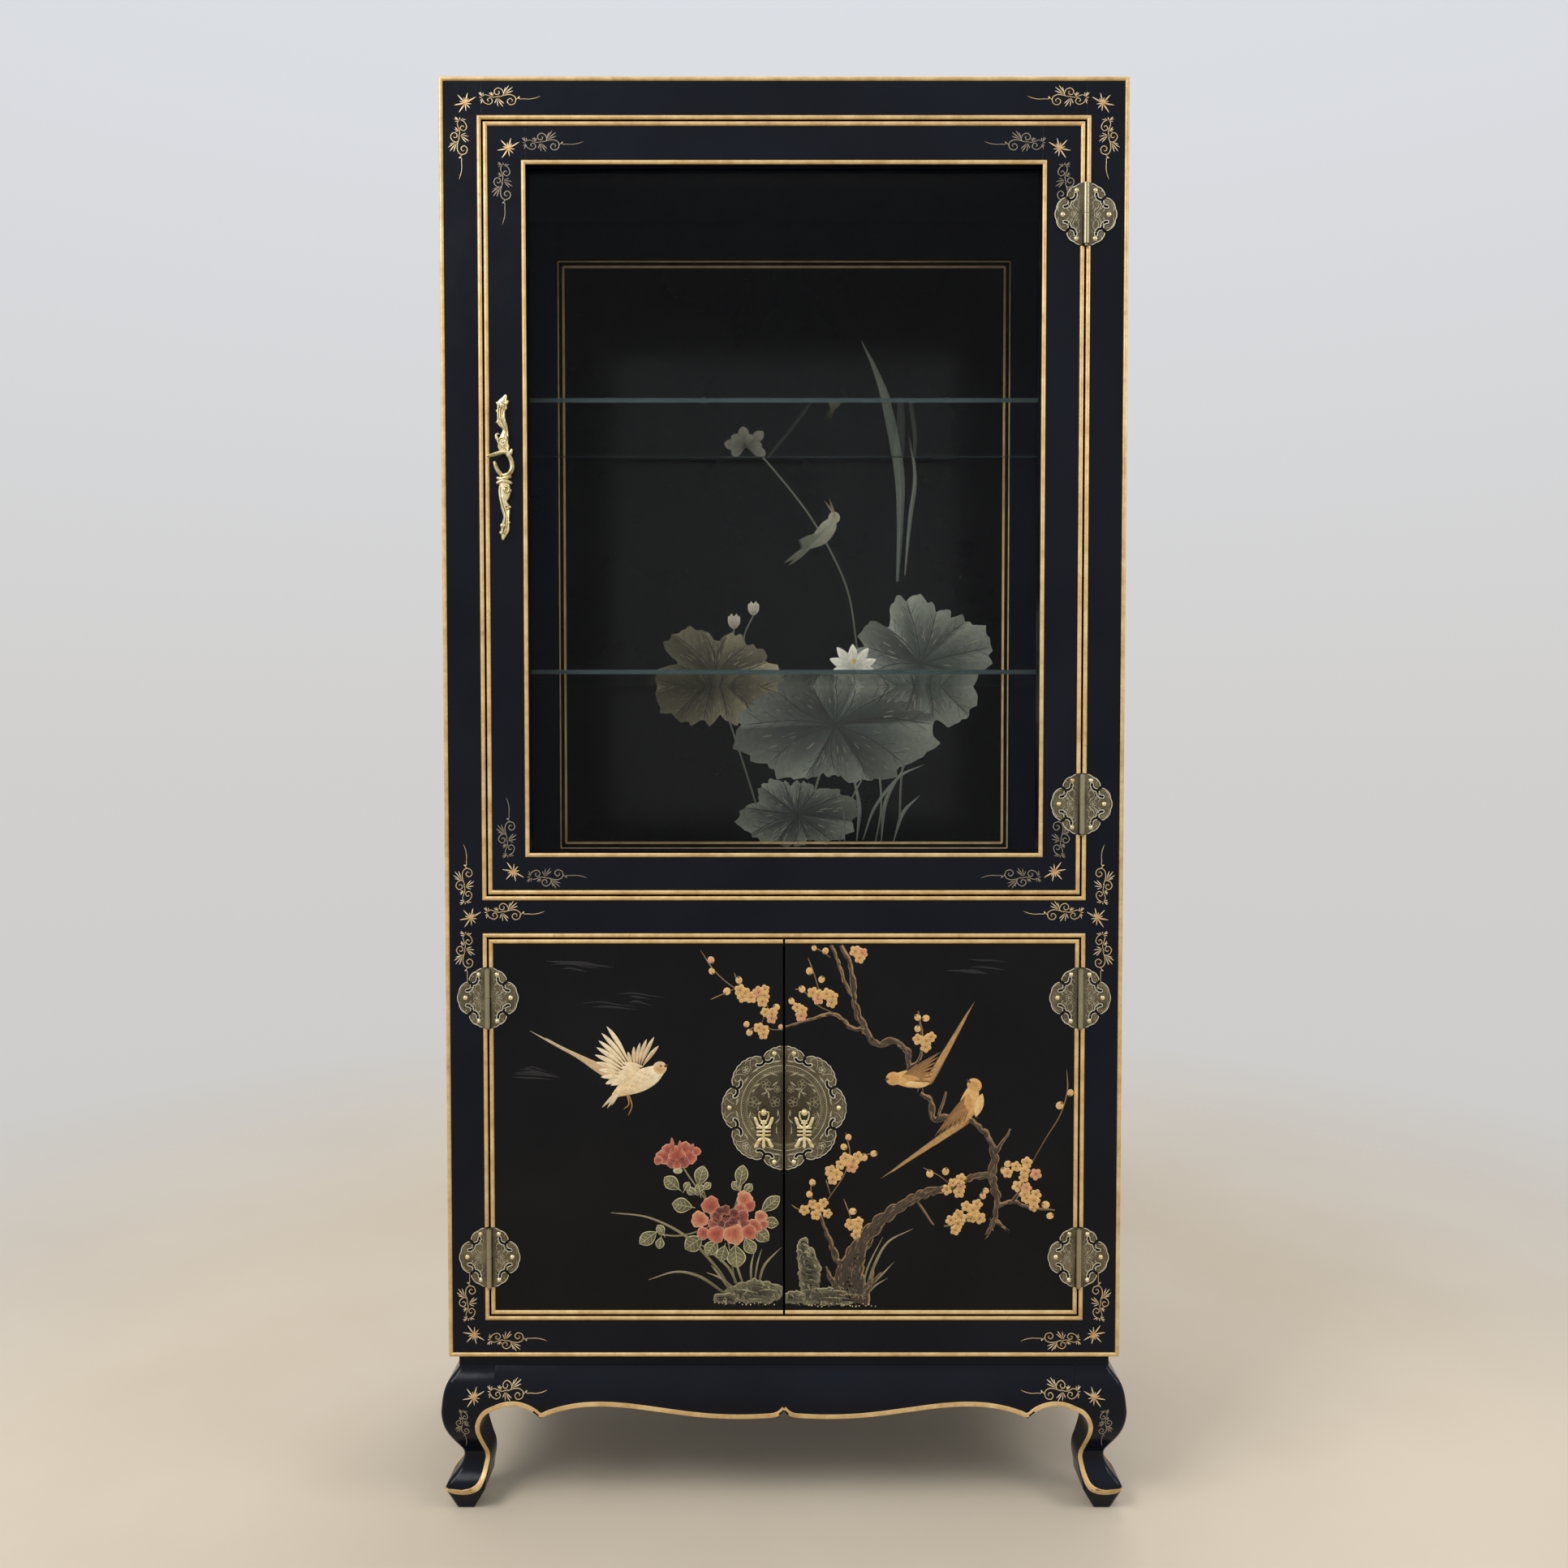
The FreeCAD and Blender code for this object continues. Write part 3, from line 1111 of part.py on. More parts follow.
def apron_cutout(half):
    """What is sawn from below an apron of a given half length: arches, cusps and a middle point."""
    top = mm(WAIST_LOW)
    joint = top - mm("Sizes.apron_joint_drop")
    crest = top - mm("Sizes.apron_crest_drop")
    cusp = top - mm("Sizes.apron_cusp_drop")
    shoulder = cusp + 10
    right = [
        [Vector(0, shoulder, 0), Vector(9, cusp + 2.5, 0), Vector(23, cusp, 0),
         Vector(0.3 * half + 2, cusp + 2, 0), Vector(half - 93, shoulder, 0), Vector(half - 64, cusp, 0)],
        [Vector(half - 64, cusp, 0), Vector(half - 44, crest - 3, 0), Vector(half - 25, crest, 0),
         Vector(half, joint, 0)],
    ]
    edges = []
    for points in right:
        edges.append(spline(points))
        edges.append(spline([Vector(-point.x, point.y, 0) for point in points]))
    below = [Vector(half, joint, 0), Vector(half, 0, 0), Vector(-half, 0, 0), Vector(-half, joint, 0)]
    edges += [line(first, second) for first, second in zip(below, below[1:])]
    return edges


def aprons():
    block = "Sizes.leg_block"
    for name, span, x, y, turn in (
        ("front", f"2 * ({HALF} - {block})", "0", FRONT, 0),
        ("right", f"2 * ({BACK} - {block})", HALF, "0", 90),
        ("rear", f"2 * ({HALF} - {block})", "0", BACK, 180),
        ("left", f"2 * ({BACK} - {block})", f"-({HALF})", "0", 270),
    ):
        apron = padded(f"apron_{name}", "YZ_Plane", apron_section(), span, symmetric=True)
        sketch = apron.newObject("Sketcher::SketchObject", f"apron_{name}_cutout")
        sketch.AttachmentSupport = [(origin_plane(apron, "XZ_Plane"), "")]
        sketch.MapMode = "FlatFace"
        sketch.addGeometry(apron_cutout(mm(span) / 2), False)
        pocket = apron.newObject("PartDesign::Pocket", f"apron_{name}_sawn")
        pocket.Profile = sketch
        pocket.Type = "ThroughAll"
        pocket.SideType = "Symmetric"
        node(place(apron, x, y, "0", Rotation(Z_AXIS, turn)), f"apron_{name}")


def waist(screw_holes):
    """Four rails between the legs' tops and the case."""
    outer_x = f"({HALF} - Sizes.waist_recess)"
    outer_y = f"({BACK} - Sizes.waist_recess)"
    z = (WAIST_LOW, CASE_LOW)
    rails = []
    for sign in (-1, 1):
        inner = f"({outer_y} - Sizes.waist_width)"
        side = side_name(sign)
        rails.append(box(f"waist_long_{side}", (f"-{outer_x}", outer_x), sided(sign, inner, outer_y), z))
        span = sided(sign, f"{outer_x} - Sizes.waist_width", outer_x)
        short = box(f"waist_short_{side}_blank", span, (f"-{inner}", inner), z)
        rails.append(cut(f"waist_short_{side}", short, screw_holes))
    node(group("stand_waist", rails), "stand_waist")


def check_and_export():
    """Stop on any failed object or bad shape, then write one file for each sub-part."""
    DOC.recompute()
    for item in DOC.Objects:
        if "Invalid" in item.State or "Error" in item.State:
            raise RuntimeError(f"{item.Name} failed: {item.State}")
    for piece in NODES:
        shape = piece.Shape
        if shape.isNull() or not shape.isValid() or not shape.Solids:
            raise RuntimeError(f"{piece.Label} has no valid solid")
    os.makedirs("parts", exist_ok=True)
    for piece in NODES:
        piece.Shape.exportStep(f"parts/{piece.Label}.step")
        print(piece.Label, len(piece.Shape.Solids), round(piece.Shape.Volume))


def build():
    screw_holes = stand_screws()
    legs()
    aprons()
    waist(screw_holes)
    case_boards(screw_holes)
    spots, frame_holes, door_nails, door_holes = hinges()
    front_frame(frame_holes)
    back_of_case()
    magnets = door_stops()
    glass_shelves()
    pull_nails, pull_holes = cast_pull()
    glass_door(magnets, door_nails["glass_door"] + pull_nails, {-1: pull_holes, 1: door_holes["glass_door"]})
    for sign in (-1, 1):
        door = f"{side_name(sign)}_door"
        spot = magnets["lower_top"][0 if sign < 0 else 1]
        painted_door(sign, spot, door_nails[door], door_holes[door])
        drop_pull(sign)
    lower_spots = spots["left_door"] + spots["right_door"]
    case_strips = bead_frame("case_edge", f"-({HALF})", HALF, CASE_LOW, CASE_HIGH)
    for name, low, high in (("upper", UPPER_LOW, UPPER_HIGH), ("lower", LOWER_LOW, LOWER_HIGH)):
        reach = f"({OPEN_HALF} + Sizes.bead_width)"
        case_strips += bead_frame(f"{name}_opening", f"-{reach}", reach, f"{low} - Sizes.bead_width",
                                  f"{high} + Sizes.bead_width")
    beads("case_beads", case_strips, spots["glass_door"] + lower_spots)
    sight = f"({SIGHT_HALF} + Sizes.bead_width)"
    door_strips = bead_frame("door_edge", f"-{DOOR_HALF}", DOOR_HALF, GLASS_LOW, GLASS_HIGH)
    door_strips += bead_frame("door_sight", f"-{sight}", sight, f"{SIGHT_LOW} - Sizes.bead_width",
                              f"{SIGHT_HIGH} + Sizes.bead_width")
    beads("glass_door_beads", door_strips, spots["glass_door"])
    for sign in (-1, 1):
        door = f"{side_name(sign)}_door"
        left, right = sided(sign, MEETING, DOOR_HALF)
        meeting_side = "right" if sign < 0 else "left"
        strips = bead_frame(f"{door}_edge", left, right, PAINTED_LOW, PAINTED_HIGH, meeting_side)
        beads(f"{door}_beads", strips, spots[door])
    check_and_export()


build()
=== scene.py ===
"""Looks of the chinese display cabinet: lacquer, gold, brass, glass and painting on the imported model."""
import json
import math
import random

import bmesh
import bpy
import numpy as np
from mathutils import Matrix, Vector
from mathutils.bvhtree import BVHTree

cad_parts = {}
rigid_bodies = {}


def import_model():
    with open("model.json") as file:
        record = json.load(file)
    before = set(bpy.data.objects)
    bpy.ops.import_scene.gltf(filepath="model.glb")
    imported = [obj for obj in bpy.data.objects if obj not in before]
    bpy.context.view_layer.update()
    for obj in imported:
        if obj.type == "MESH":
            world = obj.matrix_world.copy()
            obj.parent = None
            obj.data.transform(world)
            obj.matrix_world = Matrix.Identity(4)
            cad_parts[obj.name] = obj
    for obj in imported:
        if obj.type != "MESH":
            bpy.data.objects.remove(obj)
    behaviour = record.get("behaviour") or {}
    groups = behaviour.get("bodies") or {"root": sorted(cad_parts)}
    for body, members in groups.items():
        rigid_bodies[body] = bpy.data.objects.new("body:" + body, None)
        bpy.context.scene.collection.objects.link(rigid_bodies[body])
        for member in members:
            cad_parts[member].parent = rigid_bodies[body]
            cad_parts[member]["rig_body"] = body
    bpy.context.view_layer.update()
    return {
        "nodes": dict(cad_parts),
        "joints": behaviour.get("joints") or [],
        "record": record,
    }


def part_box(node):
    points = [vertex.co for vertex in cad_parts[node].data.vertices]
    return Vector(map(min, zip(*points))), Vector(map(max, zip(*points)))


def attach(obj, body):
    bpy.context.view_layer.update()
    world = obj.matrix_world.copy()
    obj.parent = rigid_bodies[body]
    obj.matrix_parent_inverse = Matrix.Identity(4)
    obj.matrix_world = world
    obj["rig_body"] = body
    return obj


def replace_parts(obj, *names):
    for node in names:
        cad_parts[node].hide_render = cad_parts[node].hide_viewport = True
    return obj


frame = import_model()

# Lengths in this script are millimetres in the row frame, turned into metres when a mesh is made.
MM = 0.001
TURN = 2 * math.pi
# How deep brushwork reaches into its surface, and the angle past which its edges stay sharp.
SINK = 0.06
SHARP = math.radians(38)
SCENE = bpy.context.scene
NODES = frame["nodes"]
BODY_OF = {name: node["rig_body"] for name, node in NODES.items()}
SLOT_OF = {part["node"]: part["material_slot"] for part in frame["record"]["subparts"]}


def in_mm(place):
    """A place in metres as millimetres, rounded to a micrometre."""
    return [round(value / MM, 3) for value in place]


# Lowest and highest corners of a side of the case, the upper back panel and half of the round face plate.
SIDE_LOW, SIDE_HIGH = (in_mm(end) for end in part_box("side_right"))
PANEL_LOW, PANEL_HIGH = (in_mm(end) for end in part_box("back_panel_upper"))
PLATE_LOW, PLATE_HIGH = (in_mm(end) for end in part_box("left_face_plate"))
PIVOTS = {joint["name"]: in_mm(joint["pos_m"]) for joint in frame["joints"]}
# Half the width and half the depth of the case, and the heights of its foot and top.
CASE_HALF, CASE_DEEP, CASE_TOP = SIDE_HIGH
CASE_FOOT = SIDE_LOW[2]
# Planes along y: front of the case and doors, front of the brass plates, inner face of the back panel.
FRONT = PLATE_HIGH[1]
PLATE_FRONT = PLATE_LOW[1]
BACK_PANEL = PANEL_LOW[1]
# Middle of the hinge barrels along x, and middle height and radius of the round face plate.
HINGE_X = PIVOTS["glass_door_swing"][0]
FACE_Z = (PLATE_LOW[2] + PLATE_HIGH[2]) / 2
FACE_R = 83.0


def linear(red, green, blue):
    """Linear colour of a display colour from 0 to 255."""
    return tuple(
        c / 255 / 12.92 if c <= 10 else ((c / 255 + 0.055) / 1.055) ** 2.4 for c in (red, green, blue)
    )


def mixed(first, second, share):
    """A colour part of the way from one colour to another."""
    return tuple(a + (b - a) * share for a, b in zip(first, second))


def oval(x, z, wide, tall, turn):
    """The spot on an oval about a point, at a turn."""
    return x + wide * math.cos(turn), z + tall * math.sin(turn)


def polar(x, z, reach, turn):
    """The spot at a distance from a point, at a turn."""
    return oval(x, z, reach, reach, turn)


def heading(turn):
    """The unit vector at a turn."""
    return np.array([math.cos(turn), math.sin(turn)])


def leftward(way):
    """A vector turned a quarter to the left."""
    return np.array([-way[1], way[0]])


def turns_of(count):
    """Turns spaced evenly round a circle."""
    return np.arange(count) * TURN / count


def ring_points(x, z, radii, turns):
    """Spots round a point, one radius for each turn."""
    return np.stack([x + radii * np.cos(turns), z + radii * np.sin(turns)], 1)


def directions(path, closed=False):
    """Unit vectors along a path and to its left."""
    if closed:
        ahead = np.roll(path, -1, 0) - np.roll(path, 1, 0)
    else:
        ahead = np.gradient(path, axis=0)
    ahead /= np.linalg.norm(ahead, axis=1)[:, None] + 1e-9
    return ahead, np.stack([-ahead[:, 1], ahead[:, 0]], 1)


def mesh_of(work, name):
    """The mesh of a bmesh, which is freed."""
    mesh = bpy.data.meshes.new(name)
    work.to_mesh(mesh)
    work.free()
    return mesh


def bridge(work, rings):
    """Faces from each ring of vertices to the next."""
    for first, second in zip(rings, rings[1:]):
        for k in range(len(first)):
            after = (k + 1) % len(first)
            work.faces.new((first[k], first[after], second[after], second[k]))


def show(name, mesh, material, body, sharp=None):
    """A smooth object that rides on a body, with edges past an angle left sharp."""
    mesh.polygons.foreach_set("use_smooth", [True] * len(mesh.polygons))
    if sharp is not None:
        mesh.set_sharp_from_angle(angle=sharp)
    mesh.materials.clear()
    mesh.materials.append(material)
    piece = bpy.data.objects.new(name, mesh)
    SCENE.collection.objects.link(piece)
    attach(piece, body)
    return piece


# Materials

class Shader:
    """A node material with one principled shader, built from noise, ramps and bump."""

    def __init__(self, name, **sockets):
        self.material = bpy.data.materials.new(name)
        self.material.use_nodes = True
        self.tree = self.material.node_tree
        self.shader = self.tree.nodes["Principled BSDF"]
        for socket, value in sockets.items():
            self.shader.inputs[socket.replace("_", " ")].default_value = value
        self.place = self.tree.nodes.new("ShaderNodeTexCoord").outputs["Object"]

    def link(self, source, target):
        """Lead an output to an input."""
        self.tree.links.new(source, target)

    def noise(self, scale, detail=4.0, rough=0.55, stretch=None):
        """Noise in object space, stretched by a factor along each axis if asked."""
        where = self.place
        if stretch:
            mapping = self.tree.nodes.new("ShaderNodeMapping")
            mapping.inputs["Scale"].default_value = stretch
            self.link(where, mapping.inputs["Vector"])
            where = mapping.outputs["Vector"]
        node = self.tree.nodes.new("ShaderNodeTexNoise")
        node.inputs["Scale"].default_value = scale
        node.inputs["Detail"].default_value = detail
        node.inputs["Roughness"].default_value = rough
        self.link(where, node.inputs["Vector"])
        return node.outputs["Fac"]

    def ramp(self, factor, *stops):
        """Colours at positions from 0 to 1, picked by a factor."""
        node = self.tree.nodes.new("ShaderNodeValToRGB")
        elements = node.color_ramp.elements
        while len(elements) < len(stops):
            elements.new(0.5)
        for element, (position, colour) in zip(elements, stops):
            element.position = position
            element.color = (*colour, 1.0)
        self.link(factor, node.inputs["Fac"])
        return node.outputs["Color"]

    def range(self, factor, low, high, start=0.3, end=0.7):
        """A factor from start to end, spread from low to high."""
        node = self.tree.nodes.new("ShaderNodeMapRange")
        for socket, value in (("From Min", start), ("From Max", end), ("To Min", low), ("To Max", high)):
            node.inputs[socket].default_value = value
        self.link(factor, node.inputs["Value"])
        return node.outputs["Result"]

    def blend(self, kind, factor, first, second):
        """Two colours blended; each is a socket or a fixed colour."""
        node = self.tree.nodes.new("ShaderNodeMix")
        node.data_type = "RGBA"
        node.blend_type = kind
        if isinstance(factor, float):
            node.inputs["Factor"].default_value = factor
        else:
            self.link(factor, node.inputs["Factor"])
        for socket, value in (("A", first), ("B", second)):
            target = [i for i in node.inputs if i.name == socket and i.type == "RGBA"][0]
            if isinstance(value, tuple):
                target.default_value = (*value, 1.0)
            else:
                self.link(value, target)
        return [o for o in node.outputs if o.type == "RGBA"][0]

    def axis(self, source, letter):
        """One coordinate of a vector."""
        node = self.tree.nodes.new("ShaderNodeSeparateXYZ")
        self.link(source, node.inputs["Vector"])
        return node.outputs[letter]

    def set(self, socket, source):
        """Lead an output to an input of the shader."""
        self.link(source, self.shader.inputs[socket])

    def bump(self, height, strength, distance, round_edges=0.0):
        """A fine bump, on edges rounded by a radius if asked."""
        node = self.tree.nodes.new("ShaderNodeBump")
        node.inputs["Strength"].default_value = strength
        node.inputs["Distance"].default_value = distance
        self.link(height, node.inputs["Height"])
        if round_edges:
            edge = self.tree.nodes.new("ShaderNodeBevel")
            edge.samples = 4
            edge.inputs["Radius"].default_value = round_edges
            self.link(edge.outputs["Normal"], node.inputs["Normal"])
        self.set("Normal", node.outputs["Normal"])


def lacquer(name, deep, pale):
    """Polished black lacquer: faint clouding, hand-rubbed gloss and a slight ripple."""
    made = Shader(name, Specular_IOR_Level=0.14)
    made.set("Base Color", made.ramp(made.noise(6.0, 5.0), (0.3, deep), (0.72, pale)))
    made.set("Roughness", made.range(made.noise(14.0, 6.0, 0.65), 0.11, 0.24))
    made.bump(made.noise(55.0, 3.0), 0.12, 0.0006, 0.0009)
    return made.material


def gilt():
    """Gold paint rubbed thin here and there over its brown ground."""
    made = Shader("gilt_paint", Metallic=0.25, Specular_IOR_Level=0.4)
    cloud = made.ramp(made.noise(38.0, 6.0, 0.7), (0.3, linear(178, 140, 86)),
                      (0.55, linear(207, 174, 118)), (0.8, linear(228, 201, 148)))
    worn = made.range(made.noise(130.0, 4.0, 0.65), 0.0, 0.4, 0.6, 0.8)
    made.set("Base Color", made.blend("MIX", worn, cloud, linear(120, 84, 44)))
    made.set("Roughness", made.range(made.noise(90.0), 0.34, 0.55))
    made.bump(made.noise(300.0, 3.0), 0.25, 0.0004)
    return made.material


def aged_brass():
    """Brass gone olive brown, rubbed lighter in places, with a painted highlight along the hinge barrels.
    """
    made = Shader("aged_brass", Metallic=0.75, Specular_IOR_Level=0.5)
    cloud = made.ramp(made.noise(30.0, 6.0, 0.65), (0.3, linear(73, 66, 51)), (0.52, linear(107, 97, 74)),
                      (0.75, linear(140, 130, 102)))
    fleck = made.range(made.noise(420.0, 3.0, 0.6), 0.0, 0.5, 0.56, 0.75)
    stained = made.blend("MIX", fleck, cloud, linear(52, 45, 30))
    # Painted highlight: what stands further forward than the plates, the hinge barrels, is made lighter.
    barrel_highlight = made.range(made.axis(made.place, "Y"), 0.6, 0.0, -0.2022, -0.1990)
    made.set("Base Color", made.blend("MIX", barrel_highlight, stained, linear(172, 162, 134)))
    made.set("Roughness", made.range(made.noise(120.0), 0.3, 0.5))
    made.bump(made.noise(500.0, 4.0), 0.3, 0.0003, 0.0005)
    return made.material


def bright_brass(name, metallic, dark, middle, pale):
    """Polished brass with painted shade in its hollows."""
    made = Shader(name, Metallic=metallic, Specular_IOR_Level=0.5)
    cloud = made.ramp(made.noise(110.0, 5.0, 0.65), (0.28, dark), (0.45, middle), (0.78, pale))
    # Painted shade: concave places, found by pointiness, are darkened towards black.
    hollow_shade = made.tree.nodes.new("ShaderNodeNewGeometry").outputs["Pointiness"]
    made.set("Base Color", made.blend("MIX", made.range(hollow_shade, 0.9, 0.0, 0.462, 0.498), cloud,
                                      mixed(dark, (0, 0, 0), 0.6)))
    made.set("Roughness", made.range(made.noise(180.0), 0.2, 0.4))
    made.bump(made.noise(420.0, 3.0), 0.2, 0.0003)
    return made.material


def steel():
    """Plain steel with fine marks."""
    made = Shader("plain_steel", Metallic=1.0)
    made.set("Base Color", made.ramp(made.noise(90.0), (0.3, linear(140, 140, 142)),
                                     (0.7, linear(186, 186, 188))))
    made.set("Roughness", made.range(made.noise(160.0, stretch=(1, 8, 8)), 0.28, 0.46))
    made.bump(made.noise(500.0, 2.0), 0.15, 0.0002)
    return made.material


def glass(name, ior, tint, edge_tint=None):
    """Clear glass with a trace of dust; a shelf's cut edges are darker and duller."""
    made = Shader(name, IOR=ior, Transmission_Weight=1.0)
    colour = made.ramp(made.noise(9.0), (0.3, mixed(tint, (1, 1, 1), 0.3)), (0.7, tint))
    if edge_tint:
        upright = made.tree.nodes.new("ShaderNodeMath")
        upright.operation = "ABSOLUTE"
        normal = made.tree.nodes.new("ShaderNodeTexCoord").outputs["Normal"]
        made.link(made.axis(normal, "Z"), upright.inputs[0])
        level = upright.outputs["Value"]
        colour = made.blend("MIX", made.range(level, 0.0, 1.0, 0.4, 0.6), edge_tint, colour)
        made.set("Transmission Weight", made.range(level, 0.45, 1.0, 0.4, 0.6))
    made.set("Base Color", colour)
    made.set("Roughness", made.range(made.noise(60.0, 6.0), 0.0, 0.03))
    return made.material


def brushwork(name, metallic, rough):
    """Paint whose colour is held by the brush strokes, with uneven pigment."""
    made = Shader(name, Metallic=metallic, Specular_IOR_Level=0.3)
    tint = made.tree.nodes.new("ShaderNodeAttribute")
    tint.attribute_name = "tint"
    shade = made.ramp(made.noise(160.0, 5.0, 0.7), (0.3, (0.72, 0.70, 0.66)), (0.7, (1.08, 1.06, 1.04)))
    made.set("Base Color", made.blend("MULTIPLY", 1.0, tint.outputs["Color"], shade))
    made.set("Roughness", made.range(made.noise(220.0), rough - 0.08, rough + 0.1))
    made.bump(made.noise(600.0, 3.0), 0.2, 0.0002)
    return made.material


LACQUER = lacquer("black_lacquer", (0.0026, 0.0034, 0.0066), (0.0050, 0.0063, 0.0112))
PANEL = lacquer("panel_lacquer", (0.0026, 0.0028, 0.0036), (0.0054, 0.0054, 0.0060))
GILT = gilt()
AGED_BRASS = aged_brass()
BRIGHT_BRASS = bright_brass("bright_brass", 0.7, linear(150, 128, 84), linear(212, 196, 148),
                            linear(240, 230, 196))
PULL_BRASS = bright_brass("cast_brass", 0.55, linear(166, 140, 86), linear(218, 201, 150),
                          linear(242, 231, 194))
STEEL = steel()
PANE_GLASS = glass("pane_glass", 1.14, (0.97, 0.985, 0.98))
SHELF_GLASS = glass("shelf_glass", 1.2, (0.93, 0.975, 0.96), (0.046, 0.066, 0.065))
PAINT = brushwork("painted_detail", 0.0, 0.5)
GOLD_PAINT = brushwork("gold_linework", 0.25, 0.42)
# Paint on the brass plates: painted highlights and painted shade at their rims, and engraved lines.
RIM_BRASS = brushwork("brass_painted_light_and_engraving", 0.6, 0.36)

SLOT_MATERIALS = {
    "lacquer": LACQUER, "painted_panel": PANEL, "plain_panel": PANEL, "gilt": GILT,
    "aged_brass": AGED_BRASS, "bright_brass": BRIGHT_BRASS, "clear_glass": SHELF_GLASS, "steel": STEEL,
}
for name, node in NODES.items():
    node.data.materials.clear()
    node.data.materials.append(PANE_GLASS if name == "glass_pane" else SLOT_MATERIALS[SLOT_OF[name]])
    if SLOT_OF[name] == "clear_glass":
        node.visible_shadow = False


# Surfaces that brushwork lies on

def flat(y):
    """An upright plane that faces the front."""
    def put(u, v, h):
        return np.stack([u, y - h, v], axis=-1)
    return put


def draped(names, turn):
    """The outer surface of CAD nodes, looked at from the front, the left or the right."""
    verts, faces = [], []
    for node in names:
        mesh = NODES[node].data
        start = len(verts)
        verts += [v.co / MM for v in mesh.vertices]
        faces += [[start + i for i in p.vertices] for p in mesh.polygons]
    tree = BVHTree.FromPolygons(verts, faces)
    out, along = {
        "front": (Vector((0, -1, 0)), Vector((1, 0, 0))),
        "left": (Vector((-1, 0, 0)), Vector((0, -1, 0))),
        "right": (Vector((1, 0, 0)), Vector((0, 1, 0))),
    }[turn]

    # Distances from the middle where rays start, and where spots that miss look for the nearest surface.
    far_out, near_out = 600, 196

    def hit(u, v):
        return tree.ray_cast(along * u + Vector((0, 0, v)) + out * far_out, -out)

    def put(u, v, h):
        rows = []
        for a, b, c in zip(np.ravel(u), np.ravel(v), np.ravel(h)):
            spot, normal, _, _ = hit(a, b)
            if spot is None:
                spot, normal, _, _ = tree.find_nearest(along * a + Vector((0, 0, b)) + out * near_out)
            lean = (normal + out).normalized()
            rows.append(spot + lean * c)
        return np.array(rows).reshape(np.shape(u) + (3,))

    put.hit = hit
    return put


def smooth(points, step=1.2):
    """Closely spaced points on a curve through the given ones."""
    points = np.array(points, float)
    ends = np.vstack([2 * points[0] - points[1], points, 2 * points[-1] - points[-2]])
    runs = []
    for p0, p1, p2, p3 in zip(ends, ends[1:], ends[2:], ends[3:]):
        count = max(2, int(math.ceil(np.linalg.norm(p2 - p1) / step)))
        t = np.arange(count)[:, None] / count
        runs.append(0.5 * (2 * p1 + (p2 - p0) * t + (2 * p0 - 5 * p1 + 4 * p2 - p3) * t ** 2
                           + (3 * p1 - p0 - 3 * p2 + p3) * t ** 3))
    return np.vstack(runs + [points[-1:]])


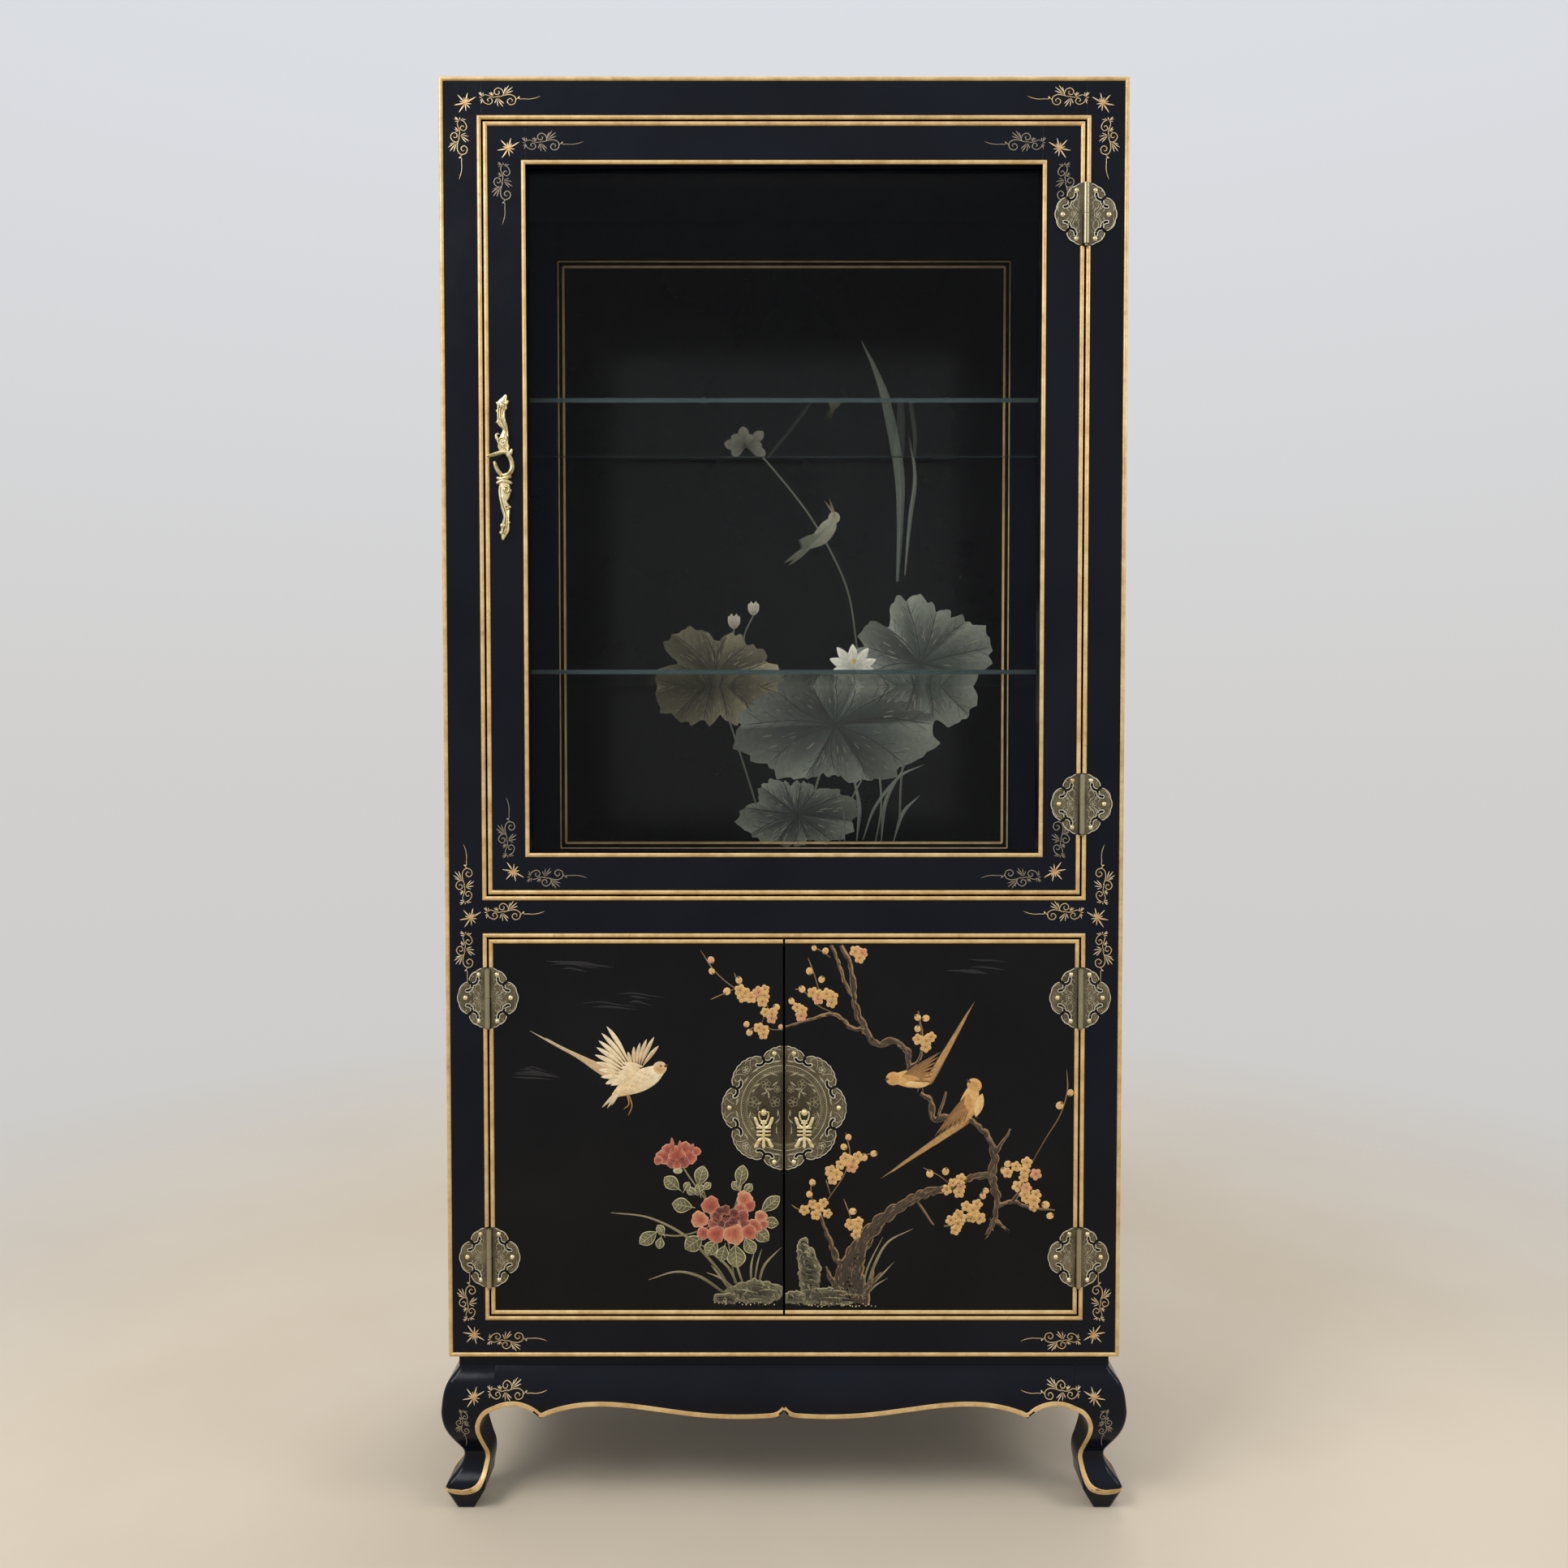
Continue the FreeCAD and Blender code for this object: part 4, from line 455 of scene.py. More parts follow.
class Relief:
    """Raised brushwork on one surface, gathered into one mesh."""

    def __init__(self, name, surface, clip=None):
        self.name = name
        self.surface = surface
        self.clip = clip
        self.verts = []
        self.faces = []
        self.tints = []
        # Height of a stroke's edges above the surface.
        self.lift = 0.12

    def add(self, u, v, h, faces, tints):
        """Faces at heights over spots on the surface, cut off at the sides of the clip."""
        if self.clip is not None:
            low, high = self.clip
            if u.max() <= low or u.min() >= high:
                return
            u = np.clip(u, low, high)
        start = len(self.verts)
        self.verts.extend((self.surface(u, v, h).reshape(-1, 3) * MM).tolist())
        self.tints.extend(np.asarray(tints, float).reshape(-1, 3).tolist())
        self.faces.extend([[start + i for i in face] for face in faces])

    def ribbon(self, path, width, tint, tip=None, closed=False, lift=0.0):
        """A crowned stroke along a path; width is one number or one per point."""
        path = np.asarray(path, float)
        count = len(path)
        across = directions(path, closed)[1]
        half = np.broadcast_to(np.asarray(width, float) / 2, (count,))
        top = self.lift + lift
        crown = top + np.minimum(0.35 * half, 0.16)
        # Five points across the stroke: its feet, its shoulders and its crown.
        reach = np.array([1.0, 0.88, 0.0, -0.88, -1.0])
        spots = path[:, None, :] + across[:, None, :] * (half[:, None] * reach)[..., None]
        low = np.full(count, -SINK)
        level = np.full(count, top)
        heights = np.stack([low, level, crown, level, low], 1)
        faces = []
        for i in range(count if closed else count - 1):
            a, b = 5 * i, 5 * ((i + 1) % count)
            faces += [[a + k, a + (k + 1) % 5, b + (k + 1) % 5, b + k] for k in range(5)]
        if not closed:
            faces += [[4, 3, 2, 1, 0], [5 * (count - 1) + k for k in range(5)]]
        share = np.linspace(0, 1, count)[:, None]
        colours = np.array(tint) * (1 - share) + np.array(tip or tint) * share
        self.add(spots[..., 0], spots[..., 1], heights, faces, np.repeat(colours, 5, axis=0))

    def line(self, points, width, tint, tip=None, taper=(0.35, 0.35), lift=0.0, step=1.2):
        """A stroke through points that thins towards its ends."""
        path = smooth(points, step)
        t = np.linspace(0, 1, len(path))
        shape = np.minimum(1.0, np.minimum(taper[0] + 6 * t, taper[1] + 6 * (1 - t)))
        self.ribbon(path, width * shape, tint, tip, lift=lift)

    def trail(self, points, widths, tint, tip=None, lift=0.0, step=1.5):
        """A stroke through points with a width at each of them."""
        rows = np.column_stack([np.array(points, float), np.array(widths, float)])
        rows = smooth(rows, step)
        self.ribbon(rows[:, :2], np.maximum(rows[:, 2], 0.15), tint, tip, lift=lift)

    def blade(self, root, tip_point, width, tint, tip=None, bend=0.0, full=0.5, lift=0.0):
        """A leaf, petal or feather; full says how far along it is widest."""
        root, end = np.array(root, float), np.array(tip_point, float)
        reach = end - root
        side = leftward(reach)
        count = int(min(16, max(6, np.linalg.norm(reach) / 2)))
        t = np.linspace(0, 1, count)[:, None]
        path = root + reach * t + side * bend * 4 * t * (1 - t)
        power = math.log(0.5) / math.log(full)
        shape = np.sin(math.pi * t[:, 0] ** power) ** 0.75
        self.ribbon(path, np.maximum(width * shape, 0.25), tint, tip, lift=lift)

    def dot(self, x, z, radius, tint, rim=None, lift=0.0, long=1.0, turn=0.0, sides=10):
        """A low dome, round or stretched."""
        turns = turns_of(sides)
        ring = np.stack([np.cos(turns) * long, np.sin(turns)], 1) * radius
        spin = np.array([[math.cos(turn), math.sin(turn)], [-math.sin(turn), math.cos(turn)]])
        ring = ring @ spin
        top = self.lift + lift
        spots = np.vstack([ring, ring * 0.8, np.zeros((1, 2))]) + np.array([x, z])
        heights = np.concatenate([np.full(sides, -SINK), np.full(sides, top),
                                  [top + min(0.3 * radius, 0.2)]])
        faces = [list(range(sides))[::-1]]
        for i in range(sides):
            j = (i + 1) % sides
            faces += [[i, j, sides + j, sides + i], [sides + i, sides + j, 2 * sides]]
        colours = np.array([rim or tint] * (2 * sides) + [tint])
        self.add(spots[:, 0], spots[:, 1], heights, faces, colours)

    def pad(self, x, z, outline, tints, lift=0.0, dome=0.2, rings=(0.3, 0.55, 0.8, 0.94), shade=1.0):
        """A wide shape about a point.

        Outline gives radii and shade brightness by turn, and tints go from the middle to the rim.
        """
        sides = len(outline)
        turns = turns_of(sides)
        unit = np.stack([np.cos(turns), np.sin(turns)], 1) * np.asarray(outline)[:, None]
        top = self.lift + lift
        spots = [unit] + [unit * r for r in reversed(rings)] + [np.zeros((1, 2))]
        heights = [np.full(sides, -SINK)]
        heights += [np.full(sides, top + dome * (1 - r ** 2)) for r in reversed(rings)]
        heights.append(np.array([top + dome]))
        faces = [list(range(sides))[::-1]]
        for k in range(len(rings)):
            for i in range(sides):
                j = (i + 1) % sides
                faces.append([k * sides + i, k * sides + j, (k + 1) * sides + j, (k + 1) * sides + i])
        last = len(rings) * sides
        faces += [[last + i, last + (i + 1) % sides, last + sides] for i in range(sides)]
        shares = [1.0] + list(reversed(rings)) + [0.0]
        colours = []
        for level, spots_here in zip(shares, spots):
            at = level * (len(tints) - 1)
            k = min(int(at), len(tints) - 2)
            colours.append(np.tile(mixed(tints[k], tints[k + 1], at - k), (len(spots_here), 1)))
            if level:
                colours[-1] *= np.broadcast_to(shade, (sides,))[:, None]
        spots = np.vstack(spots) + np.array([x, z])
        self.add(spots[:, 0], spots[:, 1], np.concatenate(heights), faces, np.vstack(colours))

    def make(self, material, body):
        """Make the mesh object, which rides on a body."""
        mesh = bpy.data.meshes.new(self.name)
        mesh.from_pydata(self.verts, [], self.faces)
        layer = mesh.color_attributes.new("tint", "FLOAT_COLOR", "POINT")
        layer.data.foreach_set("color", np.column_stack([self.tints, np.ones(len(self.tints))]).ravel())
        if self.clip is not None:
            work = bmesh.new()
            work.from_mesh(mesh)
            bmesh.ops.dissolve_degenerate(work, dist=1e-7, edges=work.edges)
            work.to_mesh(mesh)
            work.free()
        show(self.name, mesh, material, body, SHARP)


# Gold corner ornaments: a star flower and scrolled sprays

OCHRE = linear(196, 150, 84)
FEATHER = linear(232, 216, 180)
CREAM = linear(236, 218, 182)
SPRAY = linear(206, 180, 132)
SPRAY_DIM = linear(150, 139, 119)
STAR_RAYS = ((190, 15), (133, 14.5), (77, 13.5), (30, 16), (235, 15), (162, 8), (352, 8), (313, 9),
             (275, 10), (104, 7.5), (53, 7.5))


def star(relief, x, z, flip_x, flip_z):
    """Long rays towards the outside of the corner and short ones towards the inside."""
    for degrees, length in STAR_RAYS:
        end = oval(x, z, flip_x * length, flip_z * length, math.radians(degrees))
        relief.blade((x, z), end, 1.9 if length > 12 else 1.5, OCHRE, CREAM, full=0.42)
    relief.dot(x, z, 1.9, OCHRE, lift=0.05)


def spray(relief, place, tint):
    """A scrolled spray; place turns distances along and outwards into a spot on the surface."""
    def line(points, width, taper=(0.35, 0.35)):
        relief.line([place(*p) for p in points], width, tint, taper=taper, step=0.9)

    def tongue(root, end, width):
        relief.blade(place(*root), place(*end), width, tint, CREAM if tint is SPRAY else tint, full=0.6)

    line([(22, 6), (24.5, 1), (31, -1.6), (35.4, 2), (33, 6.6), (29.2, 5.2), (29.6, 2.6), (31.4, 2.4)], 1.0)
    line([(22, 8.4), (26, 10.6), (31, 9.4), (36, 7.6), (41, 8.2), (46, 9.4)], 0.9)
    line([(47.5, 8.4), (50, 12), (47.8, 17.2), (42.4, 19.4), (38.2, 16.2), (39, 11.8), (43, 11.2),
          (44.6, 14.4), (42.4, 15.6)], 1.1)
    line([(44, 7.6), (52, 10.4), (60, 10.6), (65.6, 6.6), (64.4, -0.2), (58.2, -2), (54.8, 2.2), (58, 6),
          (61.6, 3.8), (60, 1.6)], 1.1)
    line([(65.6, 3.6), (69.4, 7.4), (71, 5.2), (75, 5.4), (84, 5.2), (91.6, 6.6), (98, 9)], 0.8, (1, 0.2))
    tongue((69, 5.4), (70.6, 8.8), 1.8)
    for root, end in (
        ((22, 8.4), (17.6, 13.6)), ((22, 8.4), (20, 14.6)), ((23, 9), (23.4, 13.6)),
        ((22, 6), (19.6, 2.8)), ((22.6, 5), (20.6, -0.6)), ((22, 7), (18.2, 7.4)),
        ((35.4, 9.2), (31, 13.4)), ((35.4, 9.2), (33.4, 14.4)), ((35.8, 9), (36.2, 13.2)),
        ((50, 12.8), (52.6, 20.6)), ((50, 12.8), (56.8, 22.6)), ((50.6, 12), (61.8, 20.6)),
        ((51, 11.6), (62.4, 15.8)), ((41, 6.4), (38.4, -0.4)), ((41, 6.4), (42.6, -4)),
        ((41.6, 6), (49, -4.6)), ((42.4, 6.4), (50.4, -0.6)),
    ):
        tongue(root, end, 1.3 if abs(end[0] - root[0]) > 4 else 1.05)


def corner(relief, x, z, out_x, out_z, arms, dim=False):
    """A star with sprays; out_x and out_z point to the corner's outside, arms lists the sprays' ways."""
    star(relief, x, z, -out_x, out_z)
    ways = {
        "inward": lambda a, b: (x - out_x * a, z + out_z * b),
        "down": lambda a, b: (x + out_x * b, z - a),
        "up": lambda a, b: (x + out_x * b, z + a),
    }
    for way in arms:
        spray(relief, ways[way], SPRAY_DIM if dim else SPRAY)


case_ornaments = Relief("case_ornaments", flat(FRONT))
door_ornaments = Relief("glass_door_ornaments", flat(FRONT))
for side in (-1, 1):
    corner(case_ornaments, side * 415, 1866, side, 1, ("inward", "down"))
    corner(case_ornaments, side * 416, 240, side, -1, ("inward", "up"))
    corner(case_ornaments, side * 416, 801, side, 1, ("inward", "up", "down"))
    corner(door_ornaments, side * 359, 1808, side, 1, ("inward", "down"), dim=True)
    corner(door_ornaments, side * 359, 863, side, -1, ("inward", "up"), dim=True)
case_ornaments.make(GOLD_PAINT, "case")
door_ornaments.make(GOLD_PAINT, "glass_door")


# Gold edging and sprays on the stand

def edge_of(hit, inside, outside):
    """Last spot on the surface on the way from a spot inside its outline to one outside."""
    inside, outside = np.array(inside, float), np.array(outside, float)
    halvings = 22
    for _ in range(halvings):
        middle = (inside + outside) / 2
        if hit(*middle)[0] is None:
            outside = middle
        else:
            inside = middle
    return inside


def stand_edging(turn, legs, apron, half):
    """A gold line from the toes up the legs' inner edges and along the apron's lower edge."""
    strips = Relief(f"stand_gold_{turn}", draped(legs + [apron], turn))
    leg_hit = draped(legs, turn).hit
    apron_hit = draped([apron], turn).hit
    inset, width = 3.3, 6.2
    # The line along the toe, from its tip to the leg's inner edge: x, z and width.
    toe = [(half + 4.6, 32, 2), (half - 5, 28.4, 7.5), (half - 19, 26.8, 9), (half - 31, 29.4, 8.6),
           (half - 40, 36, 7.6), (half - 44.4, 45, 6.8), (half - 46.4, 55, 6.4)]
    for side in (-1, 1):
        rows = [(side * x, z, wide) for x, z, wide in toe]
        for z in np.arange(64, 124, 4.0):
            spot = edge_of(leg_hit, (side * (half - 32), z), (side * (half - 100), z))
            rows.append((spot[0] + side * inset, z, width))
        rows += [(side * (half - 43.4), 130.5, width), (side * (half - 50.5), 139.0, width)]
        for x in np.linspace(half - 63, 0, 80):
            spot = edge_of(apron_hit, (side * x, 185), (side * x, 90))
            rows.append((side * x, spot[1] + inset, width))
        places = [row[:2] for row in rows]
        strips.trail(places, [row[2] for row in rows], FEATHER, lift=0.25, step=1.6)
    strips.make(GILT, "case")


stand_edging("front", ["leg_front_left", "leg_front_right"], "apron_front", CASE_HALF)
stand_edging("left", ["leg_front_left", "leg_rear_left"], "apron_left", CASE_DEEP)
stand_edging("right", ["leg_front_right", "leg_rear_right"], "apron_right", CASE_DEEP)
knee_ornaments = Relief("stand_ornaments",
                        draped(["leg_front_left", "leg_front_right", "apron_front"], "front"))
for side in (-1, 1):
    corner(knee_ornaments, side * 415, 158, side, 1, ("inward",))
    spray(knee_ornaments, lambda a, b: (side * (424 + 0.75 * b), 156 - 0.75 * a), SPRAY_DIM)
knee_ornaments.make(GOLD_PAINT, "case")


# Gold frames on the sides of the case

def side_face(sign):
    """The left or right side of the case, looked at from outside."""
    def put(u, v, h):
        return np.stack([sign * (CASE_HALF + h), sign * u, v], axis=-1)
    return put


def nested_frames(relief, wide, low, high, lines, lift):
    """Rectangles about the middle, one inside the other; lines gives each one's inset and width."""
    for inset, width in lines:
        half, bottom, top = wide - inset, low + inset, high - inset
        corners = [(-half, bottom), (half, bottom), (half, top), (-half, top), (-half, bottom)]
        for start, end in zip(corners, corners[1:]):
            relief.line([start, end], width, FEATHER, taper=(1, 1), lift=lift, step=20)


# How far the stars on the sides lie from the edges of the case.
STAR_INSET = 77
for side, sign in (("left", -1), ("right", 1)):
    side_frame = Relief(f"{side}_side_frame", side_face(sign))
    nested_frames(side_frame, CASE_DEEP, CASE_FOOT, CASE_TOP, ((37, 3.4), (45, 1.6)), 0.2)
    side_frame.make(GILT, "case")
    side_ornaments = Relief(f"{side}_side_ornaments", side_face(sign))
    for way in (-1, 1):
        across = way * (CASE_DEEP - STAR_INSET)
        corner(side_ornaments, across, CASE_TOP - STAR_INSET, way, 1, ("inward", "down"), dim=True)
        corner(side_ornaments, across, CASE_FOOT + STAR_INSET, way, -1, ("inward", "up"), dim=True)
    side_ornaments.make(GOLD_PAINT, "case")


# Painted flowers and birds

# Blossom pairs go from pale to dark, rose triples from foot to rim, leaf and grass pairs from dark to pale.
BLOSSOM = (linear(218, 180, 118), linear(178, 126, 66))
PINK = (linear(212, 162, 118), linear(180, 112, 78))
ROSE = (linear(134, 60, 48), linear(164, 80, 63), linear(194, 124, 98))
ROSE_PALE = (linear(152, 76, 58), linear(184, 107, 80), linear(206, 149, 114))
ROSE_DIM = (linear(92, 44, 39), linear(128, 62, 54), linear(182, 104, 87))
ROSE_DARK = (linear(52, 32, 29), linear(80, 46, 40), linear(136, 76, 65))
LEAF = (linear(80, 79, 55), linear(132, 127, 90))
LEAF_RIM = linear(192, 184, 142)
TWIG = linear(86, 68, 50)
TWIG_PALE = linear(150, 119, 82)
BARK = linear(60, 51, 42)
GRASS = (linear(108, 102, 75), linear(160, 150, 115))
BIRD = linear(192, 143, 82)
BIRD_PALE = linear(214, 173, 110)
BIRD_DARK = linear(112, 82, 50)
MIST = linear(28, 29, 32)
DARK = linear(34, 28, 24)


def any_turn(draw):
    """A turn picked by chance."""
    return draw.uniform(0, 6.28)


def blossom(relief, draw, x, z, size, tints):
    """Five round petals, pale at the rim, and a few stamens."""
    start = any_turn(draw)
    level = draw.uniform(0.0, 0.06)
    for k in range(5):
        turn = start + k * TURN / 5
        relief.dot(*polar(x, z, 0.54 * size, turn), 0.46 * size, mixed(*tints, draw.uniform(0.35, 0.75)),
                   mixed(*tints, draw.uniform(0, 0.25)), level + 0.012 * k, 1.1, turn)
    for k in range(5):
        end = polar(x, z, 0.44 * size, start + 0.6 + k * TURN / 5)
        relief.line([(x, z), end], 0.5, linear(142, 92, 50), lift=level + 0.2)
    relief.dot(x, z, 0.13 * size, linear(150, 98, 52), lift=level + 0.21, sides=7)


def bud(relief, draw, x, z, size, tints):
    """A closed flower with a dark calyx."""
    turn = any_turn(draw)
    side = heading(turn) * size
    spot = np.array([x, z])
    relief.dot(x, z, size, mixed(*tints, 0.3), tints[0], 0.02, 1.1, turn, 9)
    relief.dot(*(spot - side * 0.8), size * 0.42, TWIG_PALE, TWIG, 0.08, sides=7)
    relief.line([spot - side * 0.5, spot + side * 0.6], 0.5, tints[1], lift=0.1)


def cluster(relief, draw, x, z, count, spread):
    """Blossoms crowded round a spot, the nearer ones on top."""
    for k in range(count):
        turn = k * 2.4 + draw.uniform(-0.3, 0.3)
        reach = spread * math.sqrt((k + 0.3) / count)
        blossom(relief, draw, *oval(x, z, reach, 0.75 * reach, turn), draw.uniform(6.6, 8.6),
                PINK if draw.random() < 0.1 else BLOSSOM)


def branch(relief, draw, points, widths):
    """A gnarled branch: bark, a pale edge above and broken strokes along it."""
    path = smooth(points, 6.5)
    sizes = np.interp(np.linspace(0, 1, len(path)), np.linspace(0, 1, len(widths)), widths)
    ahead, across = directions(path)
    play = np.minimum(0.24 * sizes, 2.6)
    bent = path + across * (play * [draw.uniform(-0.8, 0.8) for _ in path])[:, None]
    rough = sizes * 0.92 + play * [draw.uniform(-1, 1) for _ in path]
    relief.trail(bent + np.array([0.35, 0.5]), rough + 1.3, TWIG_PALE, mixed(TWIG_PALE, TWIG, 0.5), -0.04)
    relief.trail(bent, rough, BARK, mixed(BARK, TWIG, 0.6))
    for spot, way, side, size in zip(bent, ahead, across, sizes):
        if size < 3:
            continue
        for _ in range(2 + int(size / 7)):
            start = spot + side * draw.uniform(-0.42, 0.42) * size
            bow = side * draw.uniform(-1, 1)
            relief.line([start, start + way * 3 + bow, start + way * draw.uniform(4, 9)],
                        draw.uniform(0.5, 1.1), draw.choice((TWIG_PALE, TWIG, DARK, DARK, GRASS[0])),
                        lift=0.17)


def twig(relief, points):
    """A thin twig, pale at its tip."""
    relief.line(points, 1.5, TWIG, TWIG_PALE, (1, 0.25))


def leaf(relief, x, z, degrees, length, width, share):
    """A rounded leaf about a spot, with a pale rim, midrib and veins."""
    ahead = heading(math.radians(degrees))
    side = leftward(ahead)
    root = np.array([x, z]) - ahead * length / 2
    end = root + ahead * length
    relief.blade(root, end, width + 1.6, LEAF_RIM, full=0.56)
    relief.blade(root + ahead * 0.6, end - ahead * 0.6, width, LEAF[0], mixed(*LEAF, share), full=0.56,
                 lift=0.1)
    relief.line([root - ahead * 4, end - ahead * 1.5], 0.7, LEAF_RIM, lift=0.27)
    for along in (0.3, 0.5, 0.68):
        base = root + ahead * length * along
        for sign in (-1, 1):
            relief.line([base, base + ahead * length * 0.16 + side * sign * width * 0.34], 0.45, LEAF_RIM,
                        lift=0.25)


def grass(relief, points, width):
    """A long blade, dark at its root, with a pale edge."""
    widths = np.interp(np.linspace(0, 1, len(points)), [0, 0.45, 1], [0.6, 0.8, 0.05]) * width
    relief.trail(points, widths, mixed(GRASS[0], DARK, 0.5), GRASS[1])
    relief.trail(np.array(points) + 0.18 * width, widths * 0.24, GRASS[0], GRASS[1], lift=0.14)


def petal(relief, draw, x, z, size, degrees, tints, lift):
    """A broad ragged petal, darker at its foot, with pale streaks."""
    turn = math.radians(degrees)
    turns = turns_of(26)
    ragged = 1 + 0.08 * np.sin(3 * turns + draw.uniform(0, 6))
    ragged += 0.06 * np.sin(8 * turns + draw.uniform(0, 6))
    radii = size * ragged / np.hypot(np.cos(turns - turn), np.sin(turns - turn) / 0.98)
    relief.pad(x, z, radii, tints, lift, 0.14, (0.35, 0.7, 0.92))
    rim = ring_points(x, z, 0.95 * radii, turns)
    relief.ribbon(rim, 0.7, mixed(tints[2], CREAM, 0.3), closed=True, lift=lift)
    foot = np.array([x, z]) - 0.8 * size * heading(turn)
    for spread in (-0.6, -0.3, 0.0, 0.3, 0.6):
        far = foot + size * draw.uniform(1.2, 1.6) * heading(turn + spread)
        relief.line([foot + (far - foot) * 0.25, far], 0.7, tints[0], tints[2], lift=lift + 0.15)


def peony(relief, draw, x, z):
    """Broad outer petals, open above, with smaller dull ones inside them and a dark curled heart."""
    outer = ((-40, 0, 11.5, 180), (-25, 19, 12.5, 125), (-35, -19, 9, 215), (20, 28, 11, 62),
             (27, 19, 8, 40), (15, 12, 10, 60), (42, 4, 8.5, 5), (46, -6, 6.5, 350), (33, -10, 10.5, 335))
    for k, (px, pz, size, degrees) in enumerate(outer):
        petal(relief, draw, x + px, z + pz, size, degrees + draw.uniform(-6, 6),
              ROSE if k % 3 else ROSE_PALE, 0.006 * k)
    for k in range(7):
        degrees = 150 + 40 * k + draw.uniform(-10, 10)
        petal(relief, draw, *oval(x, z - 3, 20, 13, math.radians(degrees)), 8.5 * draw.uniform(0.8, 1.15),
              degrees, ROSE_DIM, 0.1 + 0.008 * k)
    for k in range(9):
        degrees = k * 40 + draw.uniform(-12, 12)
        petal(relief, draw, *oval(x - 5, z + 3, 13, 10, math.radians(degrees)), 7 * draw.uniform(0.8, 1.1),
              degrees, ROSE_DARK, 0.18 + 0.008 * k)
    lower = ((-18, -20, 12, 240), (26, -17, 10.5, 312), (6, -20, 14.5, 275))
    for k, (px, pz, size, degrees) in enumerate(lower):
        petal(relief, draw, x + px, z + pz, size, degrees, ROSE_PALE if k == 2 else ROSE, 0.26 + 0.01 * k)
    for k in range(14):
        start, far = any_turn(draw), math.sqrt(k / 13)
        middle = oval(x - 5, z + 4, 17 * far, 11 * far, 2.4 * k)
        curl = [polar(*middle, r, start + t) for t, r in enumerate((4, 3.8, 3.4, 2.8, 2.0))]
        relief.line(curl, 0.8, ROSE_DIM[2], ROSE_DIM[1], lift=0.4)


def rock(relief, draw, x, z, wide, tall):
    """A mossy stone: a craggy body with ledges, dark hollows and pale flecks."""
    turns = turns_of(40)
    crags = 1 + sum(draw.uniform(0.03, 0.07) * np.sin(k * turns + any_turn(draw)) for k in (3, 5, 8, 13))
    radii = crags * wide * tall / np.hypot(tall * np.cos(turns), wide * np.sin(turns))
    relief.pad(x, z, radii, (linear(52, 50, 40), linear(70, 67, 52), linear(122, 117, 91)), -0.02)
    edge = ring_points(x, z, 0.96 * radii, turns)
    relief.line(edge[1:20], 1.3, linear(166, 158, 126), lift=0.06)
    tints = (linear(26, 25, 21), linear(96, 92, 70), linear(148, 142, 111), linear(68, 60, 46))
    for _ in range(int(tall / 2)):
        level = draw.uniform(-0.7, 0.8)
        reach = 0.9 * wide * math.sqrt(1 - level ** 2)
        px, pz = x + draw.uniform(-0.9, 0.2) * reach, z + level * tall
        ledge = [(px, pz), (px + 0.35 * reach, pz + draw.uniform(-1, 2)),
                 (px + 0.75 * reach, pz - draw.uniform(0, 4))]
        relief.trail(ledge, [0.5, draw.uniform(1.2, 2.6), 0.4], draw.choice(tints[:3]), lift=0.2)
    for _ in range(int(wide * tall / 10)):
        turn, far = any_turn(draw), math.sqrt(draw.random()) * 0.86
        px, pz = oval(x, z, far * wide, far * tall, turn)
        relief.line([(px, pz), (px + draw.uniform(-1, 3), pz - 2),
                     (px + draw.uniform(-2, 6), pz - draw.uniform(3, 6))],
                    draw.uniform(0.6, 1.8), draw.choice(tints), lift=0.24)


def moss(relief, draw, x, z, step, count, largest):
    """A row of pale specks on the ground."""
    for k in range(count):
        relief.dot(x + step * k + draw.uniform(-1.5, 1.5), z + draw.uniform(0, 4),
                   draw.uniform(0.7, largest), LEAF_RIM, sides=7)


def wisps(relief, draw, x, z, long, count):
    """Thin clouds, hardly lighter than the lacquer."""
    for _ in range(count):
        px, pz = x + draw.uniform(-0.3, 0.3) * long, z + draw.uniform(-9, 9)
        half = long * draw.uniform(0.18, 0.45)
        points = [(px - half, pz), (px - 0.3 * half, pz + draw.uniform(-2, 3)), (px + 0.4 * half, pz - 2),
                  (px + half, pz - 4)]
        relief.trail(points, [0.3, draw.uniform(1.5, 3.4), draw.uniform(1, 2.6), 0.3], MIST,
                     mixed(MIST, DARK, 0.6), -0.06)


